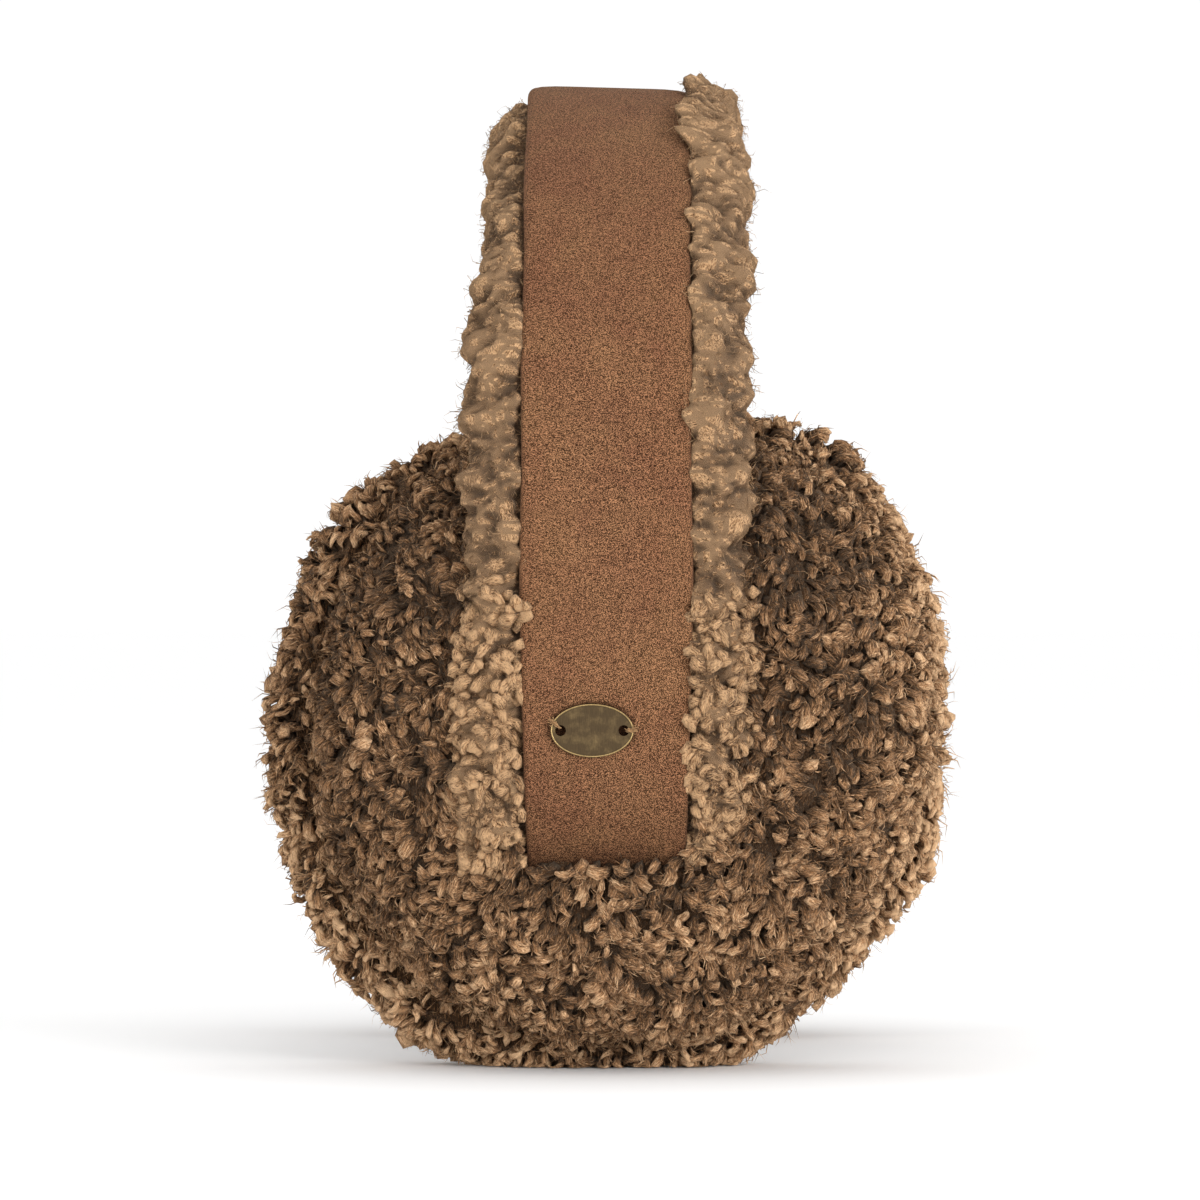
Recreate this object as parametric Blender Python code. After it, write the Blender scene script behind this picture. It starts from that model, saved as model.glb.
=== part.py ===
"""Wool earmuffs: a suede headband lined with fleece, and two deep-pile ear pads.

X runs across the band, Y from ear to ear and Z up. The pads stand on the plane z = 0.
"""

import math
import random

import bmesh
import bpy
from mathutils import Vector, noise

# Overall sizes of the band, in metres
OVERALL_HEIGHT = 0.198
OVERALL_SPAN = 0.180
PIECE_GAP = 0.0003
FIT_CLEARANCE = 0.0005

# Suede strip
STRIP_WIDTH = 0.033
STRIP_THICKNESS = 0.003
STRIP_EDGE_ROUND = 0.0011
STRIP_TAIL_WIDTH = 0.030
STRIP_TAIL_TAPER_LENGTH = 0.040

# Route of the strip's outside: crown arc, straight side, and a tail that turns into the pad
TAIL_BELOW_PAD_CENTRE = 0.002
TAIL_RADIUS = 0.030
TAIL_TURN = math.radians(72)
LINING_TAIL_TURN = math.radians(38)
CROWN_STEPS = 26
SIDE_STEPS = 4
TAIL_STEPS = 7

# Fleece lining
LINING_WIDTH = 0.057
LINING_DEPTH = 0.0145
LINING_PROUD = 0.0012
LINING_LUMP = 0.0022
LINING_STATION_PITCH = 0.0078

# Ear pads
OUTER_COVER_RADIUS = 0.0615
OUTER_COVER_HEIGHT = 0.0335
OUTER_COVER_SHIFT = 0.003
OUTER_COVER_RISE = 0.003
INNER_COVER_RADIUS = 0.0685
INNER_COVER_HEIGHT = 0.0235
EAR_HOLLOW_DEPTH = 0.003
FOOT_FLATTENING = 0.0055
STRIP_PROUD_OF_PAD = 0.0015

# Wool locks that cover the pads
LOCK_LENGTH = 0.0060
LOCK_LENGTH_SPREAD = 0.25
LOCK_TIP_SHARE = 0.55
LOCK_LEAN_SHARE = 0.16
FOOT_HEIGHT = 0.007
TAIL_CLUMP_DEPTH = 0.014
OUTER_COVER_LOCKS = 14
INNER_COVER_LOCKS = 13
LOCK_JITTER_SHARE = 0.14

# Channel that the band lies in, cut into the outer cover
CHANNEL_BELOW_LINING = 0.0025
CHANNEL_REACH = 0.020

# Oval plate
PLATE_WIDTH = 0.016
PLATE_HEIGHT = 0.0103
PLATE_THICKNESS = 0.0010
PLATE_RIM_WIDTH = 0.0005
PLATE_RIM_RAISE = 0.00022
PLATE_HOLE_DIAMETER = 0.0021
PLATE_HOLE_INSET = 0.0019
PLATE_CENTRE_X = -0.0027
PLATE_ABOVE_TAIL = 0.0014
PLATE_SIDES = 40
PLATE_HOLE_SIDES = 12

# Cover profiles, from the middle of the face to the seam
# Columns: share of the cover's radius, share of the cover's height above the seam
OUTER_PROFILE = (
    (0.00, 1.000),
    (0.22, 0.990),
    (0.44, 0.935),
    (0.64, 0.830),
    (0.81, 0.670),
    (0.93, 0.455),
    (0.99, 0.230),
    (1.00, 0.090),
    (0.97, 0.000),
)
INNER_PROFILE = (
    (0.00, 1.000),
    (0.20, 1.000),
    (0.42, 1.000),
    (0.62, 0.990),
    (0.79, 0.930),
    (0.92, 0.780),
    (0.99, 0.540),
    (0.99, 0.280),
    (0.93, 0.000),
)

# Outline of a pad seen from outside, anticlockwise from the right
# Columns: direction in degrees, share of the cover's radius
PAD_OUTLINE = (
    (0, 1.000),
    (45, 1.055),
    (90, 1.030),
    (135, 1.030),
    (180, 1.000),
    (225, 1.025),
    (270, 1.000),
    (315, 0.970),
)

# Finishes: colour, roughness and metallic value
FINISHES = {
    "suede": ((0.255, 0.122, 0.065), 0.85, 0.0),
    "band_fleece": ((0.31, 0.20, 0.12), 0.95, 0.0),
    "pad_fleece": ((0.20, 0.12, 0.066), 0.95, 0.0),
    "plate_metal": ((0.20, 0.15, 0.065), 0.42, 0.85),
}

STRIP_RADIUS = OVERALL_SPAN / 2
CROWN_CENTRE_HEIGHT = OVERALL_HEIGHT - STRIP_RADIUS
SEAM_OFFSET = STRIP_RADIUS - STRIP_PROUD_OF_PAD - OUTER_COVER_HEIGHT
PAD_CENTRE_HEIGHT = INNER_COVER_RADIUS - FOOT_FLATTENING
TAIL_START_HEIGHT = PAD_CENTRE_HEIGHT - TAIL_BELOW_PAD_CENTRE
PLATE_CENTRE_HEIGHT = TAIL_START_HEIGHT + PLATE_ABOVE_TAIL + PLATE_HEIGHT / 2
PLATE_HOLE_OFFSET = PLATE_WIDTH / 2 - PLATE_HOLE_INSET
NEAR, FAR = -1, 1


def clear_scene():
    for old in list(bpy.data.objects):
        bpy.data.objects.remove(old, do_unlink=True)


def finish_material(name):
    material = bpy.data.materials.get(name)
    if material:
        return material
    colour, roughness, metallic = FINISHES[name]
    material = bpy.data.materials.new(name)
    material.use_nodes = True
    shader = material.node_tree.nodes["Principled BSDF"]
    shader.inputs["Base Color"].default_value = (*colour, 1.0)
    shader.inputs["Roughness"].default_value = roughness
    shader.inputs["Metallic"].default_value = metallic
    return material


def add_object(name, bm, finish=None):
    """Turns a bmesh into a named object with its finish."""
    mesh = bpy.data.meshes.new(name)
    bmesh.ops.recalc_face_normals(bm, faces=bm.faces)
    bm.to_mesh(mesh)
    bm.free()
    obj = bpy.data.objects.new(name, mesh)
    bpy.context.scene.collection.objects.link(obj)
    if finish:
        mesh.materials.append(finish_material(finish))
    return obj


def hide_cutter(obj):
    obj.hide_render = True
    obj.display_type = "WIRE"


def cut(obj, cutter):
    modifier = obj.modifiers.new(cutter.name, "BOOLEAN")
    modifier.operation = "DIFFERENCE"
    modifier.solver = "EXACT"
    modifier.object = cutter


def tail_point(side, turn):
    """Station on the tail's arc: the place on the strip's outer face and the inward direction."""
    inward = Vector((0.0, -side * math.cos(turn), math.sin(turn)))
    centre = Vector((0.0, side * (STRIP_RADIUS - TAIL_RADIUS), TAIL_START_HEIGHT))
    return centre - inward * TAIL_RADIUS, inward


def tail_stations(side, turn):
    """Stations from the tail's end up to where the straight side begins."""
    steps = max(2, round(TAIL_STEPS * turn / TAIL_TURN))
    return [tail_point(side, turn * (1 - i / steps)) for i in range(steps + 1)]


def side_stations(side):
    rise = CROWN_CENTRE_HEIGHT - TAIL_START_HEIGHT
    inward = Vector((0.0, -side, 0.0))
    heights = [TAIL_START_HEIGHT + rise * i / SIDE_STEPS for i in range(1, SIDE_STEPS)]
    return [(Vector((0.0, side * STRIP_RADIUS, z)), inward) for z in heights]


def crown_stations():
    """Stations over the crown, from the near side to the far side."""
    found = []
    for i in range(CROWN_STEPS + 1):
        angle = math.pi * i / CROWN_STEPS
        outward = Vector((0.0, -math.cos(angle), math.sin(angle)))
        centre = Vector((0.0, 0.0, CROWN_CENTRE_HEIGHT))
        found.append((centre + outward * STRIP_RADIUS, -outward))
    return found


def band_stations(turn):
    """The whole route, from the near tail's end to the far tail's end."""
    near = tail_stations(NEAR, turn) + side_stations(NEAR)
    far = tail_stations(FAR, turn) + side_stations(FAR)
    return near + crown_stations() + far[::-1]


def route_lengths(stations):
    """Distance along the route at each station."""
    total, found = 0.0, [0.0]
    for (a, _), (b, _) in zip(stations, stations[1:]):
        total += (b - a).length
        found.append(total)
    return found


def resample(stations, pitch):
    """Stations at an even pitch along the same route."""
    lengths = route_lengths(stations)
    count = max(8, round(lengths[-1] / pitch))
    found, k = [], 0
    for i in range(count + 1):
        want = lengths[-1] * i / count
        while k < len(lengths) - 2 and lengths[k + 1] < want:
            k += 1
        share = (want - lengths[k]) / (lengths[k + 1] - lengths[k])
        (a, m), (b, n) = stations[k], stations[k + 1]
        found.append((a.lerp(b, share), m.lerp(n, share).normalized()))
    return found


def sweep(bm, rings):
    """Joins rings of points into a closed tube with flat ends."""
    loops = [[bm.verts.new(p) for p in ring] for ring in rings]
    count = len(loops[0])
    for a, b in zip(loops, loops[1:]):
        for k in range(count):
            m = (k + 1) % count
            bm.faces.new((a[k], a[m], b[m], b[k]))
    bm.faces.new(loops[0])
    bm.faces.new(loops[-1][::-1])


def strip_width_at(distance_to_end):
    """The strip narrows towards its tail ends."""
    share = min(1.0, distance_to_end / STRIP_TAIL_TAPER_LENGTH)
    return STRIP_TAIL_WIDTH + (STRIP_WIDTH - STRIP_TAIL_WIDTH) * share


def strip_section(width):
    """Cross-section of the suede strip: pairs of across and inward distances."""
    half, r, t = width / 2, STRIP_EDGE_ROUND, STRIP_THICKNESS
    soft = r * (1 - math.sqrt(0.5))
    return [
        (-half + r, 0.0),
        (half - r, 0.0),
        (half - soft, soft),
        (half, r),
        (half, t - r),
        (half - soft, t - soft),
        (half - r, t),
        (-half + r, t),
        (-half + soft, t - soft),
        (-half, t - r),
        (-half, r),
        (-half + soft, soft),
    ]


def make_strip():
    stations = band_stations(TAIL_TURN)
    lengths = route_lengths(stations)
    rings = []
    for (point, inward), s in zip(stations, lengths):
        width = strip_width_at(min(s, lengths[-1] - s))
        rings.append(
            [point + Vector((x, 0, 0)) + inward * n for x, n in strip_section(width)]
        )
    bm = bmesh.new()
    sweep(bm, rings)
    obj = add_object("headband_leather", bm, "suede")
    obj.data.shade_smooth()
    obj.data.set_sharp_from_angle(angle=math.radians(40))
    return obj


def lining_section():
    """Half of the lining's cross-section, from the roll's lip beside the strip round to the middle.

    Columns: distance across, distance inward from the strip's outer face, share of the lump.
    """
    lip = STRIP_WIDTH / 2 + FIT_CLEARANCE
    edge = LINING_WIDTH / 2
    roll = edge - lip
    bed = STRIP_THICKNESS + PIECE_GAP
    deep = LINING_DEPTH
    return [
        (lip, bed, 0.0),
        (lip, 0.35 * bed, 0.0),
        (lip + 0.28 * roll, -LINING_PROUD, 0.5),
        (lip + 0.68 * roll, -0.2 * LINING_PROUD, 1.0),
        (edge - 0.06 * roll, 0.27 * deep, 1.0),
        (edge, 0.55 * deep, 1.0),
        (edge - 0.16 * roll, 0.82 * deep, 1.0),
        (edge - 0.62 * roll, deep, 0.7),
        (0.36 * lip, deep, 0.5),
    ]


def make_lining():
    draw = random.Random(7)
    stations = resample(band_stations(LINING_TAIL_TURN), LINING_STATION_PITCH)
    half = lining_section()
    middle = Vector((0.0, LINING_DEPTH / 2))
    rings = []
    for i, (point, inward) in enumerate(stations):
        ring = []
        for side in (1, -1):
            columns = half if side == 1 else half[::-1]
            for j, (across, deep, lump) in enumerate(columns):
                flat = Vector((across, deep))
                wave = 0.5 + 0.5 * (-1) ** (i + j)
                sink = lump * LINING_LUMP * (0.65 * wave + 0.35 * draw.random())
                flat -= (flat - middle).normalized() * sink
                ring.append(point + Vector((side * flat.x, 0, 0)) + inward * flat.y)
        rings.append(ring)
    bm = bmesh.new()
    sweep(bm, rings)
    return add_object("headband_fleece", bm, "band_fleece")


def profile_point(profile, share):
    """Smooth point on a cover profile; share runs from 0 in the middle to 1 at the seam."""
    place = share * (len(profile) - 1)
    k = min(int(place), len(profile) - 2)
    t = place - k
    rows = [profile[min(max(k + step, 0), len(profile) - 1)] for step in (-1, 0, 1, 2)]
    found = []
    for a, b, c, d in zip(*rows):
        bend = (2 * a - 5 * b + 4 * c - d) * t * t + (3 * b - a - 3 * c + d) * t**3
        found.append(0.5 * (2 * b + (c - a) * t + bend))
    return found


def outline_share(angle):
    """The pad's radius in one direction, as a share of the cover's radius."""
    rows = len(PAD_OUTLINE)
    place = math.degrees(angle) % 360 * rows / 360
    k = int(place) % rows
    blend = 0.5 - 0.5 * math.cos(math.pi * (place - int(place)))
    return PAD_OUTLINE[k][1] * (1 - blend) + PAD_OUTLINE[(k + 1) % rows][1] * blend


def round_off(x, y):
    """Square grid place to a place on the unit disc, with cells of about even area."""
    if abs(x) < 1e-9 and abs(y) < 1e-9:
        return 0.0, 0.0
    if abs(x) > abs(y):
        return abs(x), math.atan2(y, abs(x)) if x > 0 else math.pi - math.atan2(y, -x)
    quarter = math.pi / 2 - math.atan2(x, abs(y))
    return abs(y), quarter if y > 0 else -quarter


def cover_backing(count, profile, radius, height, hollow, draw):
    """The skin under the wool: a domed grid of cells, one for each lock."""
    bm = bmesh.new()
    bmesh.ops.create_grid(bm, x_segments=count, y_segments=count, size=1.0)
    jitter = LOCK_JITTER_SHARE * 2 / count
    for v in bm.verts:
        x, y = v.co.x, v.co.y
        if not v.is_boundary:
            x += draw.uniform(-jitter, jitter)
            y += draw.uniform(-jitter, jitter)
        share, angle = round_off(x, y)
        across, rise = profile_point(profile, share)
        dip = hollow * max(0.0, 1 - (across / 0.7) ** 2)
        reach = radius * across * outline_share(angle)
        v.co = Vector((reach * math.cos(angle), reach * math.sin(angle), height * rise - dip))
    bmesh.ops.recalc_face_normals(bm, faces=bm.faces)
    if sum(f.normal.z for f in bm.faces) < 0:
        bmesh.ops.reverse_faces(bm, faces=bm.faces)
    return bm


def foot_cells(bm):
    """The cells whose wool the pad stands on."""
    foot = FOOT_HEIGHT - PAD_CENTRE_HEIGHT
    return [f for f in bm.faces if f.calc_center_median().y + f.normal.y * LOCK_LENGTH < foot]


def over_tail(face):
    """Whether the wool of a cell closes over the strip's tail, just below the channel."""
    half = STRIP_WIDTH / 2 + FIT_CLEARANCE
    mouth = mouth_in_cover()
    return any(
        abs(v.co.x + OUTER_COVER_SHIFT) < half and -TAIL_CLUMP_DEPTH < v.co.y - mouth < 0
        for v in face.verts
    )


def grow_clump(bm, cells):
    """Raises the wool of several cells as one block and returns all of its faces."""
    bm.normal_update()
    grown = bmesh.ops.extrude_face_region(bm, geom=cells)["geom"]
    faces = {g for g in grown if isinstance(g, bmesh.types.BMFace)}
    bmesh.ops.delete(bm, geom=cells, context="FACES")
    bm.normal_update()
    verts = {v for f in faces for v in f.verts}
    outward = {v: sum((f.normal for f in v.link_faces if f in faces), Vector()) for v in verts}
    for v, direction in outward.items():
        v.co += direction.normalized() * LOCK_LENGTH
        v.co.z = max(v.co.z, 0.0)
    walls = {f for v in verts for f in v.link_faces}
    return faces | walls


def channel_mouth_height():
    """Height at which the strip dips into the wool of the pad."""
    return tail_point(NEAR, LINING_TAIL_TURN)[0].z - CHANNEL_BELOW_LINING


def mouth_in_cover():
    """The same height in the outer cover's own frame."""
    return channel_mouth_height() - PAD_CENTRE_HEIGHT - OUTER_COVER_RISE


def under_band(face):
    """Whether a cell of the outer cover lies wholly under the band, where no wool stands."""
    half = LINING_WIDTH / 2 + FIT_CLEARANCE
    mouth = mouth_in_cover()
    return all(abs(v.co.x + OUTER_COVER_SHIFT) < half and v.co.y > mouth for v in face.verts)


def grow_locks(bm, draw, other_faces):
    """Raises a tapering, leaning lock of wool on each cell apart from the other faces."""
    bm.normal_update()
    cells = [f for f in bm.faces if f not in other_faces]
    grown = bmesh.ops.extrude_discrete_faces(bm, faces=cells)["faces"]
    bm.normal_update()
    for face in grown:
        centre = face.calc_center_median()
        normal = face.normal.copy()
        lean = LOCK_LEAN_SHARE * math.sqrt(face.calc_area())
        length = LOCK_LENGTH * (1 - LOCK_LENGTH_SPREAD * draw.random())
        sideways = noise.random_unit_vector(size=3).cross(normal) * lean
        for v in face.verts:
            v.co = centre + (v.co - centre) * LOCK_TIP_SHARE + normal * length + sideways
        lowest = min(v.co.z for v in face.verts)
        bmesh.ops.translate(bm, verts=face.verts, vec=(0, 0, max(0.0, -lowest)))


def close_back(bm):
    """Closes the cover with a flat face at the seam."""
    rim = [e for e in bm.edges if e.is_boundary]
    bmesh.ops.contextual_create(bm, geom=rim)


def place_cover(bm, side, towards, shift, lift):
    """Turns a cover from its own frame, dome along +Z, to its place on one pad.

    towards is 1 for a dome that points away from the head and -1 for one that faces the ear.
    The far pad is the near one turned half round about Z.
    """
    base = SEAM_OFFSET + towards * PIECE_GAP / 2
    for v in bm.verts:
        x, up, rise = v.co
        across = -side * (x + shift)
        v.co = Vector((across, side * (base + towards * rise), PAD_CENTRE_HEIGHT + lift + up))


def make_cover(name, side, towards):
    """One wool cover of a pad, as locks fused to a domed skin."""
    outer = towards > 0
    seed = 11 + 2 * side + towards
    draw = random.Random(seed)
    noise.seed_set(seed)
    profile = OUTER_PROFILE if outer else INNER_PROFILE
    radius = (OUTER_COVER_RADIUS if outer else INNER_COVER_RADIUS) - LOCK_LENGTH
    height = (OUTER_COVER_HEIGHT if outer else INNER_COVER_HEIGHT) - LOCK_LENGTH
    count = OUTER_COVER_LOCKS if outer else INNER_COVER_LOCKS
    hollow = 0.0 if outer else EAR_HOLLOW_DEPTH
    bm = cover_backing(count, profile, radius, height, hollow, draw)
    bm.normal_update()
    if outer:
        clump = grow_clump(bm, [f for f in bm.faces if over_tail(f)])
        grow_locks(bm, draw, clump | {f for f in bm.faces if under_band(f)})
    else:
        grow_locks(bm, draw, grow_clump(bm, foot_cells(bm)))
    close_back(bm)
    shift, lift = (OUTER_COVER_SHIFT, OUTER_COVER_RISE) if outer else (0.0, 0.0)
    place_cover(bm, side, towards, shift, lift)
    return add_object(name, bm, "pad_fleece")


def prism(name, outline, half_width):
    """Extrudes an outline in the Y-Z plane to both sides of the middle."""
    bm = bmesh.new()
    base = [bm.verts.new((-half_width, y, z)) for y, z in outline]
    face = bm.faces.new(base)
    moved = bmesh.ops.extrude_face_region(bm, geom=[face])["geom"]
    verts = [g for g in moved if isinstance(g, bmesh.types.BMVert)]
    bmesh.ops.translate(bm, verts=verts, vec=(2 * half_width, 0, 0))
    obj = add_object(name, bm)
    hide_cutter(obj)
    return obj


def offset_route(side, turn, depth):
    """The route's points moved inward by depth, from the tail's end to the crown's shoulder."""
    crown = crown_stations()[:: -side]
    stations = tail_stations(side, turn) + side_stations(side) + crown[: CROWN_STEPS // 4]
    return [point + inward * depth for point, inward in stations]


def channel_cutter(side):
    """Open channel in the outer cover that the lined band lies in."""
    bed = offset_route(side, LINING_TAIL_TURN, LINING_DEPTH + FIT_CLEARANCE)
    end, _ = tail_point(side, LINING_TAIL_TURN)
    bed[0].z -= FIT_CLEARANCE
    mouth = channel_mouth_height()
    outside = side * (STRIP_RADIUS + CHANNEL_REACH)
    outline = [(p.y, p.z) for p in bed]
    outline += [(bed[-1].y, OVERALL_HEIGHT), (outside, OVERALL_HEIGHT), (outside, mouth)]
    outline += [(end.y, mouth)]
    name = "channel_near" if side == NEAR else "channel_far"
    return prism(name, outline, LINING_WIDTH / 2 + FIT_CLEARANCE)


def pocket_cutter(side):
    """Slot below the channel that holds the strip's tail."""
    past = FIT_CLEARANCE / TAIL_RADIUS
    turns = [TAIL_TURN + past - (TAIL_TURN - LINING_TAIL_TURN + 2 * past) * i / 4 for i in range(5)]
    stations = [tail_point(side, turn) for turn in turns]
    outer = [p - n * FIT_CLEARANCE for p, n in stations]
    inner = [p + n * (STRIP_THICKNESS + FIT_CLEARANCE) for p, n in stations]
    outline = [(p.y, p.z) for p in outer + inner[::-1]]
    name = "pocket_near" if side == NEAR else "pocket_far"
    return prism(name, outline, STRIP_WIDTH / 2 + FIT_CLEARANCE)


def floor_cutter():
    bm = bmesh.new()
    bmesh.ops.create_cube(bm, size=1.0)
    wide = 2 * OVERALL_SPAN
    for v in bm.verts:
        v.co = Vector((v.co.x * wide, v.co.y * wide, (v.co.z - 0.5) * OVERALL_HEIGHT))
    obj = add_object("floor_cutter", bm)
    hide_cutter(obj)
    return obj


def make_pads():
    floor = floor_cutter()
    for side, word in ((NEAR, "left"), (FAR, "right")):
        outer = make_cover(f"{word}_pad_outer", side, 1)
        cut(outer, channel_cutter(side))
        cut(outer, pocket_cutter(side))
        inner = make_cover(f"{word}_pad_inner", side, -1)
        cut(inner, floor)


def ellipse(width, height, sides):
    turns = [2 * math.pi * k / sides for k in range(sides)]
    return [(width / 2 * math.cos(t), height / 2 * math.sin(t)) for t in turns]


def make_plate():
    """Oval plate with a raised rim and two stitch holes, on the near side of the strip."""
    face = -STRIP_RADIUS - PIECE_GAP
    front = face - PLATE_THICKNESS
    bm = bmesh.new()

    def ring(outline, y):
        return [
            bm.verts.new((PLATE_CENTRE_X + x, y, PLATE_CENTRE_HEIGHT + z))
            for x, z in outline
        ]

    full = ellipse(PLATE_WIDTH, PLATE_HEIGHT, PLATE_SIDES)
    rim = 2 * PLATE_RIM_WIDTH
    inside = ellipse(PLATE_WIDTH - rim, PLATE_HEIGHT - rim, PLATE_SIDES)
    back = ring(full, face)
    edge = ring(full, front)
    crest = ring(inside, front)
    field = ring(inside, front + PLATE_RIM_RAISE)
    for a, b in ((back, edge), (edge, crest), (crest, field)):
        for k in range(PLATE_SIDES):
            m = (k + 1) % PLATE_SIDES
            bm.faces.new((a[k], a[m], b[m], b[k]))
    bm.faces.new(back)
    bm.faces.new(field)
    plate = add_object("oval_plate", bm, "plate_metal")
    for word, place in (("left", -PLATE_HOLE_OFFSET), ("right", PLATE_HOLE_OFFSET)):
        drill = bmesh.new()
        bmesh.ops.create_cone(
            drill,
            cap_ends=True,
            segments=PLATE_HOLE_SIDES,
            radius1=PLATE_HOLE_DIAMETER / 2,
            radius2=PLATE_HOLE_DIAMETER / 2,
            depth=4 * PLATE_THICKNESS,
        )
        cutter = add_object(f"plate_hole_{word}", drill)
        cutter.location = (PLATE_CENTRE_X + place, front, PLATE_CENTRE_HEIGHT)
        cutter.rotation_euler = (math.pi / 2, 0, 0)
        hide_cutter(cutter)
        cut(plate, cutter)
    return plate


def main():
    clear_scene()
    make_strip()
    make_lining()
    make_pads()
    make_plate()


main()
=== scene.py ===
"""Looks of the wool earmuffs: curled fleece on the ear pads, a fleece-lined suede band and its plate.

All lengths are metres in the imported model's frame: X across the band, Y from ear to ear, Z up.
"""

import math

import bmesh
import bpy
import numpy as np
from bpy.props import FloatProperty, FloatVectorProperty, IntProperty, PointerProperty
from mathutils import Matrix, Vector
from mathutils.kdtree import KDTree


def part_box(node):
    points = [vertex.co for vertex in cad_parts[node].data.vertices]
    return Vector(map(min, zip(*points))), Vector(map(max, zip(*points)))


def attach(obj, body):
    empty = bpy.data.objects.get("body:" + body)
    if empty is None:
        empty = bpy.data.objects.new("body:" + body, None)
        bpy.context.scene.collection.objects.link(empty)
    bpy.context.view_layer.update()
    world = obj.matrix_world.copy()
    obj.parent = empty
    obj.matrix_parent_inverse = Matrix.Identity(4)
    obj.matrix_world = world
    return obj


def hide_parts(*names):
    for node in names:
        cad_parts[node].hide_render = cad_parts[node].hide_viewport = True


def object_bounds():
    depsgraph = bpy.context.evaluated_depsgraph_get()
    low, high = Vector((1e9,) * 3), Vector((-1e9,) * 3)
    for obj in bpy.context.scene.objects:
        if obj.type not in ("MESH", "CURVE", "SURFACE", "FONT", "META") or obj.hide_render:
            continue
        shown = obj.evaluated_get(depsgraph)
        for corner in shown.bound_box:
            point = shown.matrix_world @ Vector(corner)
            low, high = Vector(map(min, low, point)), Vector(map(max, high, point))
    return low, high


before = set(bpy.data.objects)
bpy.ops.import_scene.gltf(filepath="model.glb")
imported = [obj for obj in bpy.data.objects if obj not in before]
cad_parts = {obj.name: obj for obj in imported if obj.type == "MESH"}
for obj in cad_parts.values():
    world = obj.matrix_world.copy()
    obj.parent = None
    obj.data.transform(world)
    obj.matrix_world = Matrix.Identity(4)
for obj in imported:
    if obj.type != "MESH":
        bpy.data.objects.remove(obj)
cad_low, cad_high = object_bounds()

bl_info = {
    "name": "Fleece earmuffs",
    "version": (1, 0, 0),
    "blender": (4, 5, 0),
    "location": "3D View > Sidebar > Earmuffs",
    "description": "Builds the wool, suede and metal of a pair of earmuffs",
    "category": "Add Mesh",
}

ROOT = "root"
NEAR, FAR = -1, 1
GOLDEN_ANGLE = math.pi * (3 - math.sqrt(5))
TINY = 1e-9

# Band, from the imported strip
strip_low, strip_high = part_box("headband_leather")
STRIP_WIDTH = strip_high.x - strip_low.x
STRIP_RADIUS = (strip_high.y - strip_low.y) / 2
CROWN_HEIGHT = strip_high.z - STRIP_RADIUS
STRIP_THICKNESS = 0.003
TAIL_START_HEIGHT = 0.061
TAIL_RADIUS = 0.030
STRIP_TAIL_TURN = math.radians(72)
STRIP_TAIL_WIDTH = 0.030
STRIP_TAIL_TAPER = 0.040
STRIP_PITCH = 0.0032
LINING_TAIL_TURN = math.radians(38)
PIECE_GAP = 0.0003

# Ear pads, as the solids have them
SEAM_OFFSET = 0.055
PAD_CENTRE_HEIGHT = 0.063
OUTER_RADIUS = 0.0615
OUTER_HEIGHT = 0.0335
OUTER_SHIFT = 0.003
OUTER_RISE = 0.003
INNER_RADIUS = 0.0685
INNER_HEIGHT = 0.0235
EAR_HOLLOW_DEPTH = 0.003
CHANNEL_MOUTH_HEIGHT = 0.040
FLOOR_CLEARANCE = 0.0002

# Cover profiles, from the middle of the face to the seam
# Columns: share of the cover's radius, share of the cover's height above the seam
OUTER_PROFILE = (
    (0.00, 1.000),
    (0.22, 0.990),
    (0.44, 0.935),
    (0.64, 0.830),
    (0.81, 0.670),
    (0.93, 0.455),
    (0.99, 0.230),
    (1.00, 0.090),
    (0.97, 0.000),
)
INNER_PROFILE = (
    (0.00, 1.000),
    (0.20, 1.000),
    (0.42, 1.000),
    (0.62, 0.990),
    (0.79, 0.930),
    (0.92, 0.780),
    (0.99, 0.540),
    (0.99, 0.280),
    (0.93, 0.000),
)

# Outline of a pad seen from outside, anticlockwise from the right
# Columns: direction in degrees, share of the cover's radius
PAD_OUTLINE = (
    (0, 1.000),
    (45, 1.055),
    (90, 1.030),
    (135, 1.030),
    (180, 1.000),
    (225, 1.025),
    (270, 1.000),
    (315, 0.970),
)

# Lock shapes, as rings from root to tip
# Columns: place along the lock, share of the lock's radius
NUB_RINGS = ((0.0, 0.8), (0.4, 1.0), (0.65, 1.0), (0.85, 0.85), (1.0, 0.4))
FIBRE_RINGS = ((0.0, 1.0), (0.5, 0.85), (1.0, 0.001))
BEND_STEPS = 20
CURL_POWER = 1.8
SWELL_WAVES = 24
SWELL_LENGTHS = (0.009, 0.030)
WARP_LENGTHS = (0.0035, 0.010)


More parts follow.
